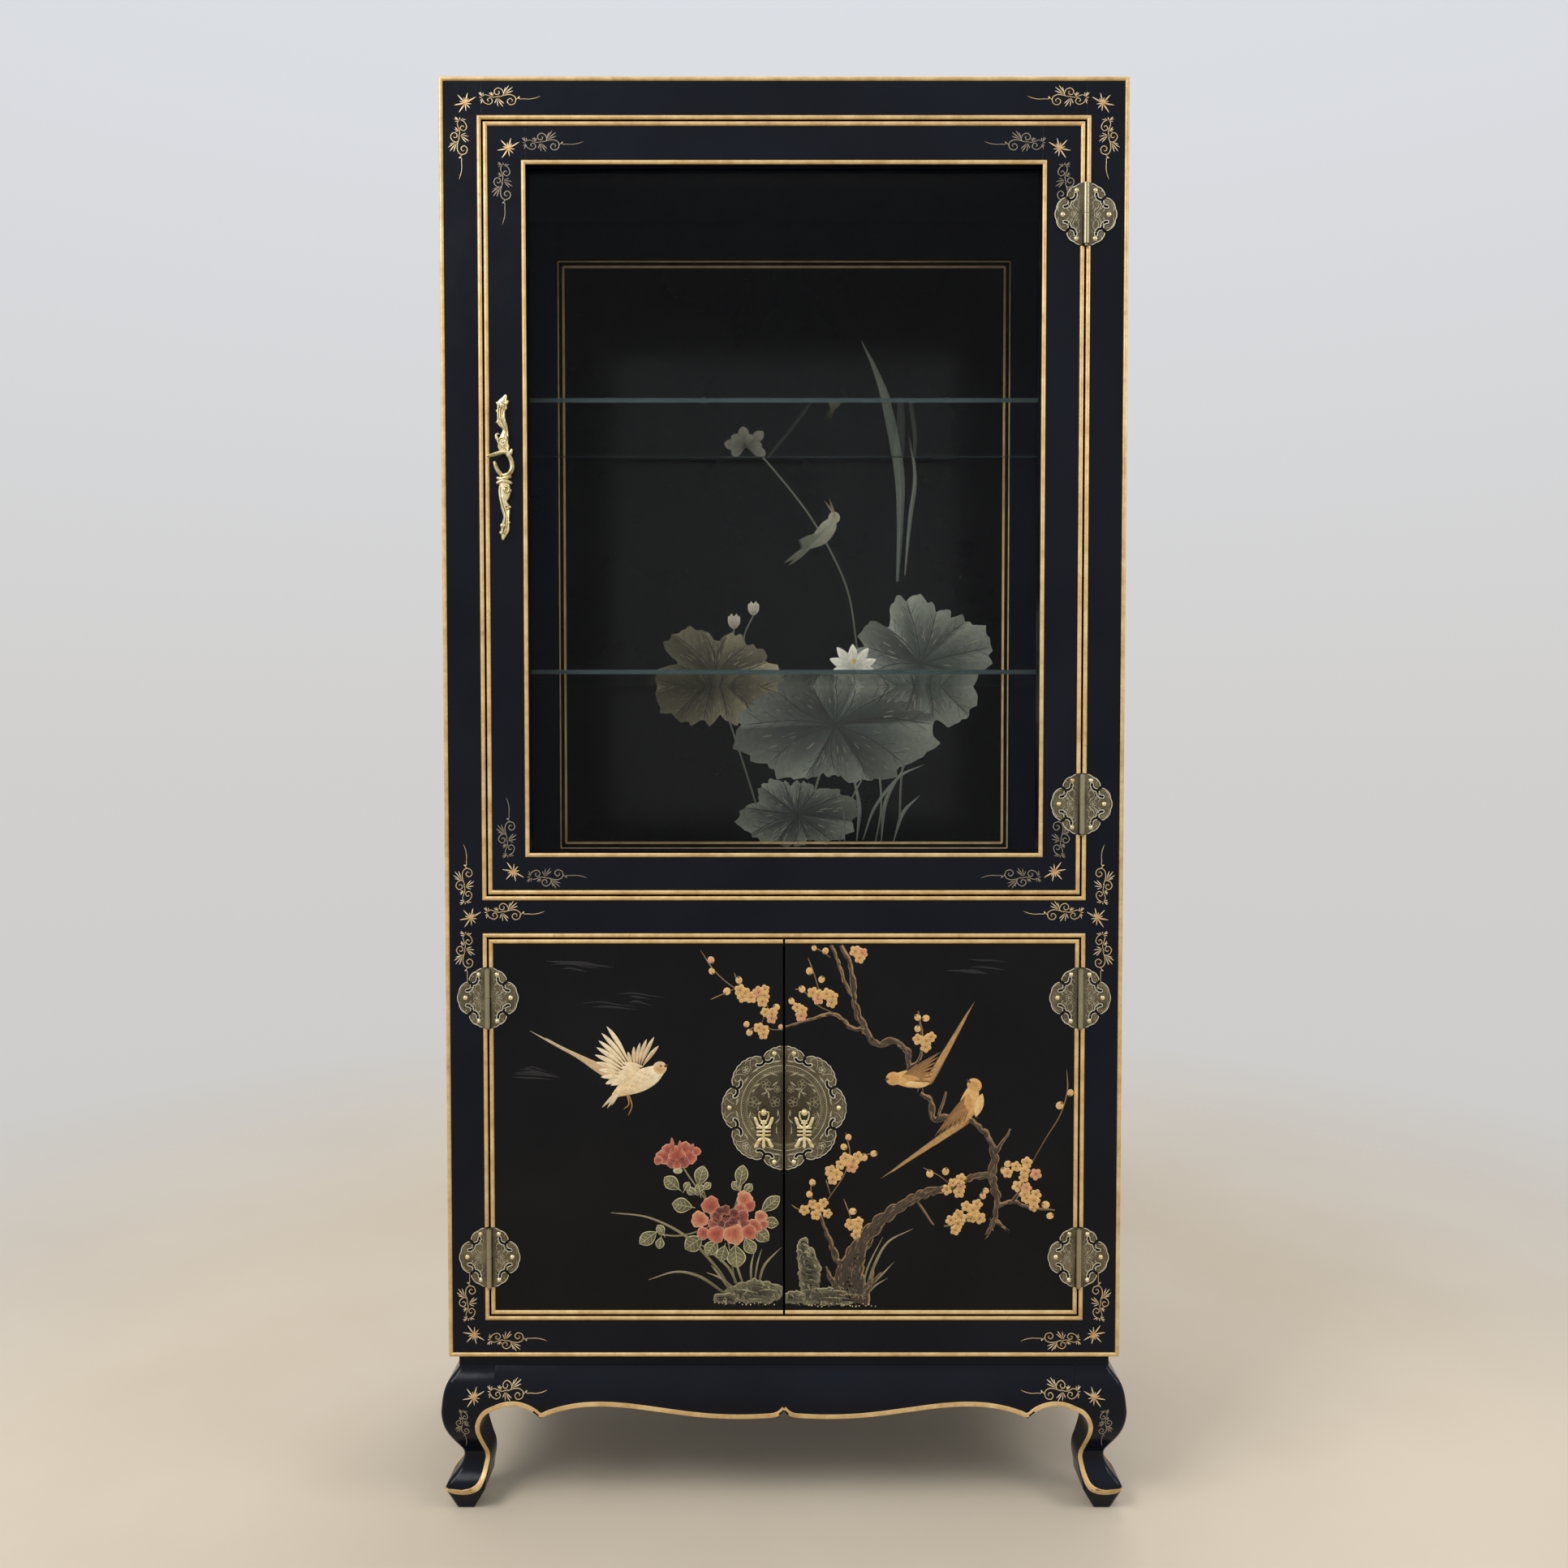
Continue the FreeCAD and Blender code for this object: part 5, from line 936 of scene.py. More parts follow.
def perched_bird(relief, head, body, rump, tail, beak, wing_side):
    """A long-tailed bird: tail, body, folded wing, head."""
    head, body, rump, tail, beak = (np.array(p, float) for p in (head, body, rump, tail, beak))
    length = np.linalg.norm(tail - rump)
    back = (tail - rump) / length
    side = leftward(back)
    for k, (reach, off) in enumerate(((1.0, 0.0), (0.9, 2.2), (0.82, -2.2), (0.6, 4.4), (0.55, -4.2),
                                      (0.42, 6.0))):
        end = rump + back * length * reach + side * off * 0.6
        relief.blade(rump - back * 8 + side * off * 0.7, end, 6.5 - 0.5 * k,
                     mixed(BIRD, BIRD_DARK, 0.3 + 0.1 * k), BIRD_DARK, full=0.25, lift=0.02 * k)
        relief.line([rump + side * off * 0.7, end - back * 5], 0.6, BIRD_PALE, lift=0.22 + 0.02 * k)
    spine = rump - head
    relief.trail([head + spine * t for t in (0.05, 0.3, 0.55, 0.8, 1.05)], [14, 22, 25, 19, 7], BIRD_PALE,
                 BIRD, 0.12)
    chest = body - side * wing_side * 6
    relief.blade(chest - spine * 0.3, chest + spine * 0.34, 12, linear(224, 190, 134), BIRD_PALE, lift=0.24)
    shoulder = head + spine * 0.34 + side * wing_side * 3
    for k in range(7):
        end = rump + back * (length * 0.32 - 7 * k) + side * wing_side * (6 - 1.2 * k)
        relief.blade(shoulder + side * wing_side * (3 - 0.9 * k), end, 5.6,
                     mixed(BIRD, BIRD_DARK, 0.75 - 0.09 * k), BIRD_DARK, full=0.35, lift=0.3 + 0.02 * k)
        relief.line([shoulder + (end - shoulder) * 0.4, end - (end - shoulder) * 0.1], 0.5, BIRD,
                    lift=0.5 + 0.02 * k)
    for k in range(5):
        start = shoulder + side * wing_side * (4 - 2.2 * k)
        relief.blade(start, start + spine * 0.34, 5.0, BIRD, mixed(BIRD, BIRD_PALE, 0.4), lift=0.47)
    nose = (beak - head) / np.linalg.norm(beak - head)
    relief.dot(*head, 9.4, BIRD, mixed(BIRD, BIRD_PALE, 0.4), 0.3, 1.12, math.atan2(nose[1], nose[0]), 14)
    relief.blade(head + nose * 6, beak, 3.6, BIRD_DARK, DARK, full=0.3, lift=0.42)
    relief.dot(*(head + nose * 3 + np.array([0, 2.0])), 1.7, DARK, BIRD_PALE, 0.5, sides=9)
    for sign in (-1, 1):
        foot = body + spine * 0.2
        relief.line([foot, foot + np.array([sign * 4, -14])], 1.2, BIRD_DARK, lift=0.05)


def flying_bird(relief):
    """A pale bird with raised wings and a long trailing tail."""
    for k, end in enumerate(((-338, 650), (-318, 641), (-298, 630), (-282, 620))):
        relief.blade((-222 + 3 * k, 594 - 5 * k), end, 6.0 + k, mixed(BIRD, FEATHER, 0.25),
                     mixed(FEATHER, BIRD_DARK, 0.45), 0.02, 0.25, 0.02 * k)
    for k, end in enumerate(((-167, 630), (-173, 642), (-183, 639), (-192, 634), (-200, 629), (-208, 622))):
        relief.blade((-190 - 2 * k, 600), end, 5.6, mixed(FEATHER, BIRD, 0.5),
                     mixed(FEATHER, BIRD_DARK, 0.25), 0.03, 0.62, 0.1 + 0.014 * k)
        relief.line([(-190 - 2 * k, 602), (end[0] * 0.86 - 26.6, end[1] * 0.86 + 84)], 0.6, BIRD_DARK, BIRD,
                    lift=0.3)
    near_tips = ((-236, 656), (-243, 647), (-247, 637), (-250, 628), (-252, 618), (-251, 608), (-248, 598),
                 (-244, 588), (-238, 579))
    for k, end in enumerate(near_tips):
        root = (-205 - k, 604 - 2.2 * k)
        relief.blade(root, end, 6.4, mixed(FEATHER, BIRD_PALE, 0.3), FEATHER, -0.03, 0.64, 0.18 + 0.014 * k)
        relief.line([root, (end[0] * 0.85 - 31, end[1] * 0.85 + 90)], 0.6, BIRD, mixed(BIRD, FEATHER, 0.5),
                    lift=0.39)
    relief.trail([(-164, 599), (-176, 591), (-192, 583), (-210, 574), (-228, 563)], [14, 25, 29, 22, 6],
                 FEATHER, mixed(FEATHER, BIRD_PALE, 0.6), 0.34)
    for k in range(6):
        relief.blade((-188 - 3 * k, 602 - 3 * k), (-216 - 3 * k, 607 - 6 * k), 7.0,
                     mixed(FEATHER, BIRD_PALE, 0.5), FEATHER, lift=0.44 + 0.012 * k)
    for k in range(18):
        spot = (-178 - 2.6 * k, 592 - 1.6 * k - 5 * math.sin(2.1 * k))
        relief.line([spot, (spot[0] - 4, spot[1] - 2)], 0.7, mixed(BIRD_PALE, BIRD, 0.4), lift=0.52)
    for end in ((-243, 547), (-236, 546), (-230, 550)):
        relief.blade((-220, 570), end, 4.6, FEATHER, mixed(FEATHER, BIRD_DARK, 0.5), full=0.4, lift=0.32)
    for foot in (((-210, 566), (-207, 552), (-214, 545)), ((-208, 566), (-203, 550), (-208, 536))):
        relief.line(foot, 1.8, BIRD, BIRD_DARK, lift=0.2)
    relief.dot(-166, 600, 9.2, BIRD, mixed(BIRD, FEATHER, 0.5), 0.46, 1.1, 0.5, 14)
    relief.blade((-160, 602), (-154, 605), 4.2, BIRD_DARK, DARK, full=0.35, lift=0.5)
    relief.dot(-164, 603, 1.5, DARK, DARK, 0.62, sides=8)


def left_picture():
    """Peony beside a rock, a bird in flight and the tip of a plum branch, in layers of their own lift."""
    draw = random.Random(11)
    relief = Relief("left_door_picture", flat(FRONT), (-389, -1.8))
    wisps(relief, draw, -262, 738, 90, 6)
    wisps(relief, draw, -214, 690, 80, 5)
    wisps(relief, draw, -318, 596, 70, 6)
    for points, width in (
        ([(-72, 300), (-90, 330), (-130, 372), (-180, 398), (-232, 405)], 5.5),
        ([(-80, 296), (-112, 318), (-145, 325), (-182, 314)], 5.5),
        ([(-60, 300), (-74, 330), (-98, 352), (-112, 362)], 5.0),
        ([(-52, 300), (-62, 330), (-66, 352)], 4.4), ([(-44, 304), (-44, 332), (-40, 352)], 4.2),
        ([(-34, 308), (-26, 334), (-4, 358)], 5.0), ([(-64, 300), (-84, 316), (-104, 324)], 4.0),
        ([(-40, 306), (-36, 334), (-30, 356)], 3.4), ([(-70, 296), (-88, 322), (-98, 334)], 3.4),
    ):
        grass(relief, points, width)
    rock(relief, draw, -38, 298, 40, 16)
    rock(relief, draw, -76, 289, 20, 7)
    relief.lift = 0.16
    for points in (
        [(-66, 310), (-72, 350), (-82, 392), (-110, 430), (-132, 462), (-142, 482)],
        [(-84, 396), (-110, 382), (-140, 374), (-168, 376)], [(-104, 424), (-112, 446)],
        [(-74, 392), (-60, 430), (-56, 450)], [(-70, 372), (-44, 392), (-22, 412)],
    ):
        relief.line(points, 2.2, linear(96, 90, 64), linear(138, 128, 94), (1, 0.5))
    for x, z, degrees, length, width in (
        (-150, 445, 140, 26, 18), (-111, 455, 75, 28, 18), (-136, 415, 170, 28, 20),
        (-124, 434, 150, 15, 10), (-113, 437, 100, 17, 12), (-103, 441, 40, 14, 9), (-130, 441, 60, 13, 9),
        (-121, 364, 215, 28, 22), (-182, 371, 215, 28, 18), (-165, 382, 120, 16, 11),
        (-166, 364, 260, 16, 11), (-97, 358, 235, 24, 18), (-82, 350, 255, 22, 16), (-46, 360, 300, 24, 17),
        (-64, 346, 275, 31, 25), (-31, 376, 320, 27, 19), (-18, 392, 350, 22, 15), (-18, 417, 40, 32, 17),
        (-64, 441, 130, 16, 11), (-48, 438, 50, 16, 11), (-57, 455, 80, 30, 17),
    ):
        leaf(relief, x, z, degrees, length, width, draw.uniform(0.3, 1.0))
    relief.lift = 0.3
    peony(relief, draw, -73, 396)
    for k, (x, z, size, degrees, tints) in enumerate((
        (-160, 481, 11, 170, ROSE), (-126, 482, 11, 10, ROSE), (-154, 490, 9, 125, ROSE),
        (-132, 492, 9, 60, ROSE), (-117, 488, 6, 30, ROSE), (-168, 476, 6, 200, ROSE),
        (-147, 474, 10, 240, ROSE_DIM), (-136, 475, 10, 300, ROSE_DIM), (-143, 483, 12, 90, ROSE),
        (-143, 471, 7, 270, ROSE),
    )):
        petal(relief, draw, x, z, size, degrees, tints, 0.02 * k)
    for end in ((-150, 507), (-139, 503), (-121, 499)):
        relief.blade((end[0] * 0.8 - 28, 488), end, 6, ROSE[0], ROSE[2], lift=0.2)
    relief.dot(-142, 462, 4.4, LEAF[1], LEAF_RIM, 0.3, 1.5, 0, 9)
    relief.lift = 0.12
    flying_bird(relief)
    for points in (
        [(-30, 660), (-22, 684), (-40, 700), (-66, 708), (-92, 730), (-111, 758)],
        [(-66, 706), (-80, 700), (-98, 692)], [(-1, 652), (-16, 652), (-30, 658), (-46, 652)],
        [(-56, 704), (-62, 716), (-66, 728)],
    ):
        twig(relief, points)
    relief.lift = 0.22
    for x, z, size in ((-97, 745, 4.8), (-96, 730, 4.4), (-76, 703, 5.2), (-60, 718, 4.8), (-50, 659, 4.2),
                       (-46, 648, 4.6), (-4, 655, 4.0), (-10, 682, 4.6)):
        bud(relief, draw, x, z, size, PINK if draw.random() < 0.3 else BLOSSOM)
    for x, z, count, spread in ((-54, 701, 3, 9), (-30, 697, 5, 15), (-19, 673, 3, 10), (-29, 651, 3, 9)):
        cluster(relief, draw, x, z, count, spread)
    moss(relief, draw, -92, 280, 5.2, 16, 1.2)
    relief.make(PAINT, "left_door")


def right_picture():
    """An old plum tree in flower with two birds, a rock and grass, in layers of their own lift."""
    draw = random.Random(23)
    relief = Relief("right_door_picture", flat(FRONT), (1.8, 389))
    relief.lift = 0.1
    wisps(relief, draw, 254, 738, 60, 5)
    for points, width in (
        ([(108, 294), (122, 336), (140, 366), (172, 383)], 5.5),
        ([(106, 296), (128, 318), (147, 338)], 4.0), ([(110, 292), (122, 306), (138, 316)], 3.6),
        ([(104, 292), (112, 330), (132, 372)], 3.6),
    ):
        grass(relief, points, width)
    rock(relief, draw, 34, 320, 15, 40)
    rock(relief, draw, 26, 350, 9, 22)
    rock(relief, draw, 64, 292, 54, 12)
    rock(relief, draw, 14, 290, 18, 9)
    relief.lift = 0.16
    for points, widths in (
        ([(74, 336), (62, 364), (50, 396), (46, 408)], [9, 6, 4, 2]),
        ([(96, 350), (98, 366), (92, 380)], [6, 4, 2]), ([(80, 292), (64, 312), (56, 332)], [12, 7, 1]),
        ([(98, 292), (120, 312), (130, 324)], [14, 6, 1]), ([(88, 290), (72, 300), (62, 318)], [14, 8, 1]),
        ([(92, 288), (112, 300), (120, 334)], [14, 7, 1]),
        ([(88, 286), (86, 312), (94, 344), (120, 384), (152, 411), (192, 433), (224, 440), (250, 452),
          (276, 455)],
         [62, 42, 26, 18, 14, 12, 10, 9, 8]),
        ([(76, 764), (88, 736), (94, 690), (104, 658), (122, 632), (146, 635), (164, 622), (167, 596)],
         [5, 6, 7, 8, 9.5, 8.5, 8, 7]),
        ([(62, 764), (72, 742), (80, 716), (93, 692)], [3, 4, 4, 5]),
        ([(108, 652), (90, 654), (66, 672), (32, 664), (2, 655)], [6, 4.4, 3.6, 3, 2]),
        ([(182, 566), (196, 554), (200, 532), (226, 534), (250, 528), (272, 508), (282, 478), (276, 455),
          (284, 428), (281, 394), (272, 376)], [5, 7, 8, 7, 7, 9, 10, 11, 8, 6, 4]),
        ([(281, 394), (296, 384)], [6, 3]),
        ([(283, 414), (306, 420), (326, 412), (362, 408)], [5, 4, 3, 1.2]),
        ([(306, 420), (316, 436), (320, 458)], [4, 3, 2]),
        ([(282, 486), (296, 506), (302, 518)], [5, 3, 1.5]),
        ([(204, 530), (212, 552), (216, 568)], [4, 3, 1.4]),
        ([(166, 600), (180, 612), (184, 640), (178, 676)], [4, 3, 2.4, 1]),
        ([(262, 398), (244, 394), (214, 386)], [4, 3, 1.4]),
        ([(176, 424), (194, 396), (200, 388)], [3.4, 2, 1]),
    ):
        branch(relief, draw, points, widths)
    for points in (
        [(46, 404), (62, 428), (80, 456), (88, 484), (82, 514)], [(84, 476), (104, 482), (120, 486)],
        [(94, 380), (88, 402), (80, 424)], [(62, 430), (56, 450)], [(46, 408), (20, 410), (10, 416)],
        [(40, 410), (36, 436), (38, 452)], [(222, 444), (206, 456), (186, 466)],
        [(332, 474), (350, 506), (369, 538), (378, 570), (377, 598)], [(66, 674), (46, 684), (38, 698)],
        [(50, 690), (42, 720), (32, 748)], [(62, 748), (48, 758), (38, 762)], [(96, 744), (104, 756)],
        [(276, 398), (280, 380)], [(44, 690), (24, 704), (14, 706)],
    ):
        twig(relief, points)
    relief.lift = 0.24
    for x, z, size in (
        (55, 757, 4.6), (40, 761, 3.8), (34, 730, 5.0), (50, 719, 4.6), (24, 706, 4.8), (178, 668, 4.6),
        (189, 667, 4.8), (178, 653, 4.6), (86, 507, 4.4), (80, 494, 4.6), (107, 480, 5.0), (120, 485, 4.6),
        (38, 446, 4.6), (34, 430, 4.6), (92, 407, 5.0), (195, 458, 5.2), (216, 461, 5.0), (350, 416, 5.4),
        (356, 401, 4.8), (299, 471, 4.8), (294, 462, 5.0), (368, 550, 5.4), (382, 567, 4.6),
        (266, 428, 4.6), (270, 435, 4.2), (10, 690, 4.4),
    ):
        bud(relief, draw, x, z, size, PINK if draw.random() < 0.12 else BLOSSOM)
    for x, z, count, spread in (
        (101, 754, 3, 10), (43, 698, 3, 9), (61, 695, 3, 11), (21, 677, 3, 11), (186, 636, 4, 14),
        (89, 475, 5, 16), (67, 457, 3, 11), (43, 411, 6, 19), (94, 384, 4, 15), (232, 441, 5, 17),
        (249, 408, 6, 20), (229, 390, 4, 15), (317, 462, 6, 22), (320, 438, 3, 13), (331, 421, 4, 14),
    ):
        cluster(relief, draw, x, z, count, spread)
    relief.lift = 0.2
    perched_bird(relief, (146, 586), (172, 582), (196, 586), (254, 690), (134, 585), 1)
    perched_bird(relief, (254, 577), (257, 556), (240, 528), (129, 451), (243, 585), -1)
    moss(relief, draw, 34, 278, 4.2, 22, 1.3)
    relief.make(PAINT, "right_door")


left_picture()
right_picture()


# Lotus pond on the back panel

def lotus_leaf(relief, draw, x, z, wide, tall, turn, tints):
    """A broad leaf with a wavy, ragged rim and folds between its veins."""
    tips, sides = 12, 108
    turns = turns_of(sides)
    reach = np.array([draw.uniform(0.78, 1.12) for _ in range(tips)])
    places = (turn + turns_of(tips)) % TURN
    order = np.argsort(places)
    lobes = np.interp(turns, places[order], reach[order], period=TURN)
    waves = 0.9 + 0.12 * np.abs(np.sin(tips / 2 * (turns - turn))) ** 0.6
    ragged = lobes * waves * (1 + 0.03 * np.sin(23 * turns + 3 * turn) + 0.025 * np.sin(37 * turns + turn))
    for _ in range(3):
        away = (turns - any_turn(draw) + math.pi) % TURN - math.pi
        ragged *= 1 - draw.uniform(0.12, 0.3) * np.exp(-(away / draw.uniform(0.06, 0.16)) ** 2)
    radii = ragged * wide * tall / np.hypot(tall * np.cos(turns), wide * np.sin(turns))
    fold = (turns - turn) % TURN * tips / TURN
    tone = np.array([draw.uniform(0.5, 1.25) for _ in range(tips)])[fold.astype(int) % tips]
    relief.pad(x, z, radii, tints, dome=0.3, shade=tone * (0.7 + 0.55 * (fold % 1)))
    dark, pale = mixed(tints[0], DARK, 0.55), mixed(tints[2], FEATHER, 0.25)
    root = np.array([x, z])
    for angle in places:
        far = 0.96 * float(np.interp(angle, turns, radii, period=TURN))
        ahead = heading(angle)
        side = leftward(ahead)
        bow = side * draw.uniform(-0.1, 0.1) * far
        relief.line([root, root + ahead * far * 0.5 + bow, root + ahead * far], 1.5, dark, lift=0.36)
        for share in (0.4, 0.62, 0.8):
            base = root + ahead * far * share + bow * 4 * share * (1 - share)
            for sign in (-1, 1):
                relief.line([base, base + ahead * far * 0.16 + side * sign * far * 0.11], 0.8, dark,
                            lift=0.34)
        for _ in range(7):
            spread = angle + draw.uniform(0.06, 0.46)
            start = draw.uniform(0.3, 0.8) * float(np.interp(spread, turns, radii, period=TURN))
            way = heading(spread)
            relief.line([root + way * start, root + way * (start + draw.uniform(7, 16))],
                        draw.uniform(0.8, 2.0), mixed(tints[1], pale, draw.uniform(0, 0.6)), lift=0.32)


def lotus_flower(relief, x, z, size, tint, shade, petals, wide=0.4, full=0.48):
    """Separate petals opening upwards."""
    for k, (degrees, reach) in enumerate(petals):
        end = polar(x, z, reach * size, math.radians(degrees))
        relief.blade((x, z), end, wide * size, shade, tint, full=full, lift=0.02 * k)
        relief.line([(x, z), (x + 0.9 * (end[0] - x), z + 0.9 * (end[1] - z))], 0.6, shade,
                    lift=0.2 + 0.02 * k)


def back_picture():
    """Lotus leaves and flowers, reeds and a small bird."""
    draw = random.Random(37)
    relief = Relief("back_panel_picture", flat(BACK_PANEL))
    stem, dull = linear(78, 79, 68), linear(122, 127, 116)
    for points, width in (
        ([(190, 900), (196, 1000), (222, 1100), (240, 1166)], 4), ([(40, 880), (52, 960), (84, 1060)], 4),
        ([(-30, 880), (-60, 980), (-112, 1140)], 3), ([(18, 872), (22, 894), (26, 916)], 4),
        ([(108, 1100), (114, 1140), (114, 1160)], 3),
        ([(120, 1190), (108, 1270), (86, 1330), (40, 1410), (-24, 1490), (-60, 1526)], 3),
        ([(-70, 1150), (-82, 1200), (-82, 1226)], 2.6), ([(-60, 1150), (-66, 1206), (-50, 1246)], 2.4),
        ([(90, 868), (110, 940), (150, 1010), (190, 1060)], 3), ([(150, 868), (160, 930), (156, 1000)], 3),
    ):
        relief.line(points, width, stem, dull, (1, 0.6))
    for points, width in (
        ([(186, 1300), (190, 1400), (188, 1480), (170, 1580), (150, 1640), (126, 1690)], 20),
        ([(198, 1310), (206, 1400), (214, 1470), (204, 1540)], 9),
        ([(130, 876), (150, 930), (190, 980), (230, 1000)], 7), ([(160, 872), (168, 940), (200, 1000)], 7),
        ([(120, 874), (124, 930), (112, 990)], 7), ([(180, 872), (196, 920), (224, 950)], 6),
        ([(100, 872), (98, 920), (84, 960)], 5),
    ):
        widths = np.interp(np.linspace(0, 1, len(points)), [0, 0.5, 1], [0.25, 1.0, 0.05]) * width
        relief.trail(points, widths, linear(66, 75, 69), dull)
        relief.line(points[:-1], 1.0, dull, lift=0.2)
    slate = (linear(53, 58, 55), linear(80, 86, 80), linear(132, 136, 124))
    olive = (linear(68, 63, 50), linear(100, 94, 75), linear(144, 136, 110))
    for lift, x, z, wide, tall, turn, tints in (
        (0.12, 22, 918, 104, 58, 0.4, slate), (0.16, -112, 1146, 124, 80, 1.3, olive),
        (0.2, 224, 1166, 118, 118, 0.75, slate), (0.24, 84, 1066, 164, 100, 2.1, slate),
    ):
        relief.lift = lift
        lotus_leaf(relief, draw, x, z, wide, tall, turn, tints)
    relief.lift = 0.3
    wide_open = ((188, 0.85), (-8, 0.9), (158, 1.0), (22, 0.95), (128, 1.05), (54, 1.0), (92, 0.95))
    closed = ((112, 0.9), (68, 0.9), (100, 1.0), (80, 1.0))
    lotus_flower(relief, 114, 1158, 42, linear(238, 236, 222), linear(166, 164, 146), wide_open)
    for x, z, size in ((-82, 1222, 26), (-50, 1244, 24)):
        lotus_flower(relief, x, z, size, linear(222, 216, 198), linear(140, 132, 114), closed)
    nodding = ((205, 0.7), (-20, 0.9), (170, 0.95), (8, 0.7), (140, 0.8), (42, 1.0), (100, 0.9), (70, 0.6))
    lotus_flower(relief, -62, 1522, 38, linear(176, 170, 152), linear(104, 98, 86), nodding, 0.46, 0.7)
    relief.dot(114, 1170, 5, linear(196, 176, 104), lift=0.34, sides=9)
    for k, end in enumerate(((0, 1330), (8, 1326), (16, 1334))):
        relief.blade((46, 1360), end, 8, linear(112, 112, 94), linear(84, 84, 70), full=0.4, lift=0.02 * k)
    relief.trail([(80, 1400), (74, 1390), (60, 1372), (42, 1356)], [13, 25, 26, 8], linear(158, 156, 138),
                 linear(110, 112, 96), 0.08)
    for k in range(6):
        relief.blade((70 - 2 * k, 1388 - 2 * k), (28 - k, 1346 + 4 * k), 7, linear(112, 120, 104),
                     linear(80, 84, 70), lift=0.16)
    relief.dot(82, 1404, 10, linear(140, 138, 116), linear(166, 162, 138), 0.16, sides=12)
    for end in ((66, 1432), (74, 1436)):
        relief.blade((82, 1410), end, 4.0, linear(140, 130, 100), linear(90, 82, 60), full=0.3, lift=0.24)
    relief.dot(82, 1408, 1.5, DARK, lift=0.4, sides=7)
    relief.make(PAINT, "case")
    border = Relief("back_panel_border", flat(BACK_PANEL))
    nested_frames(border, PANEL_HIGH[0], PANEL_LOW[2], PANEL_HIGH[2], ((8.5, 2.0), (17.0, 3.8)), 0.3)
    border.make(GILT, "case")


back_picture()


# Painted highlights and shade along the rims, and engraved lines on the brass plates

# The first colour is a painted highlight for the plates' rims.
RIM_HIGHLIGHT = linear(216, 210, 186)
ENGRAVED = linear(172, 165, 140)
ENGRAVED_DIM = linear(140, 132, 106)
FACE_LINE = linear(196, 189, 162)
FACE_DIM = linear(156, 148, 120)
# Painted shade: a dark colour for shadow lines, and a near-black one for the notches' mouths.
SHADED = linear(46, 41, 28)
MOUTH_SHADE = linear(20, 18, 14)
# Spacing of the points along a plate's rim.
RIM_STEP = 0.8


def outlines(node, y):
    """Closed outlines of the faces of a plate that lie in its front plane."""
    # Metres within which corners are one and faces lie in the plane, and the least outline in millimetres.
    weld, level, smallest = 2e-6, 3e-5, 8
    work = bmesh.new()
    work.from_mesh(NODES[node].data)
    bmesh.ops.remove_doubles(work, verts=work.verts, dist=weld)
    front = {f for f in work.faces if f.normal.y < -0.99 and abs(f.calc_center_median().y - y * MM) < level}
    links = {}
    for edge in work.edges:
        if sum(f in front for f in edge.link_faces) == 1:
            a, b = edge.verts
            links.setdefault(a, []).append(b)
            links.setdefault(b, []).append(a)
    loops = []
    left = set(links)
    for first in sorted(links, key=lambda v: v.index):
        if first not in left:
            continue
        loop = [first]
        left.discard(first)
        while True:
            following = [v for v in links[loop[-1]] if v in left]
            if not following:
                break
            loop.append(following[0])
            left.discard(following[0])
        spots = np.array([(v.co.x, v.co.z) for v in loop]) / MM
        if np.ptp(spots, axis=0).max() > smallest:
            loops.append(spots)
    work.free()
    return loops


def inset_loop(loop, distance, step):
    """A loop moved inwards, with points evenly spaced."""
    closed = np.vstack([loop, loop[:1]])
    lengths = np.concatenate([[0], np.cumsum(np.linalg.norm(np.diff(closed, axis=0), axis=1))])
    at = np.linspace(0, lengths[-1], max(8, int(lengths[-1] / step)), endpoint=False)
    path = np.stack([np.interp(at, lengths, closed[:, k]) for k in (0, 1)], 1)
    area = 0.5 * np.sum(path[:, 0] * np.roll(path[:, 1], -1) - np.roll(path[:, 0], -1) * path[:, 1])
    return path + directions(path, True)[1] * distance * (1 if area > 0 else -1)


def stretches(path, keep):
    """The runs of a closed path's points that are kept."""
    first = int(np.argmin(keep))
    runs = [[]]
    for i in np.roll(np.arange(len(path)), -first):
        if keep[i]:
            runs[-1].append(path[i])
        elif runs[-1]:
            runs.append([])
    return [np.array(run) for run in runs if len(run) > 4]


def mouths(loop):
    """Which points of a loop lie in the narrow mouths of its notches: near to points far along the loop."""
    beside, near, far_along = 0.65, 1.3, 5.0
    outside = inset_loop(loop, -beside, RIM_STEP)
    count = len(outside)
    gaps = np.linalg.norm(outside[:, None] - outside[None, :], axis=2)
    apart = np.abs(np.arange(count)[:, None] - np.arange(count)[None, :])
    gaps[np.minimum(apart, count - apart) * RIM_STEP < far_along] = np.inf
    return gaps.min(axis=1) < near


def rims(name, node, body, engrave, inner, clip=None):
    """A pale rim painted as a highlight, with a painted shadow line inside it, on the shaped edges of a
    node's plates, and engraving.

    The rim is painted near black as shade at the notches' mouths. Inner gives where the plates' straight
    edges are, which stay plain.
    """
    relief = Relief(name, flat(PLATE_FRONT), clip)
    relief.lift = 0.1
    for loop in outlines(node, PLATE_FRONT):
        narrow = mouths(loop)
        # A pale painted highlight, a dark painted shadow line inside it, and near-black painted shade where
        # the rim meets a notch's mouth.
        for inset, width, tint, lift, shown in (
            (0.7, 1.2, RIM_HIGHLIGHT, 0.06, ~narrow), (1.9, 0.8, SHADED, -0.06, ~narrow),
            (0.55, 1.1, MOUTH_SHADE, 0.06, narrow),
        ):
            path = inset_loop(loop, inset, RIM_STEP)
            for run in stretches(path, (abs(abs(path[:, 0]) - inner[0]) > inner[1]) & shown):
                relief.ribbon(run, width, tint, lift=lift)
        engrave(relief, loop)
    relief.make(RIM_BRASS, body)


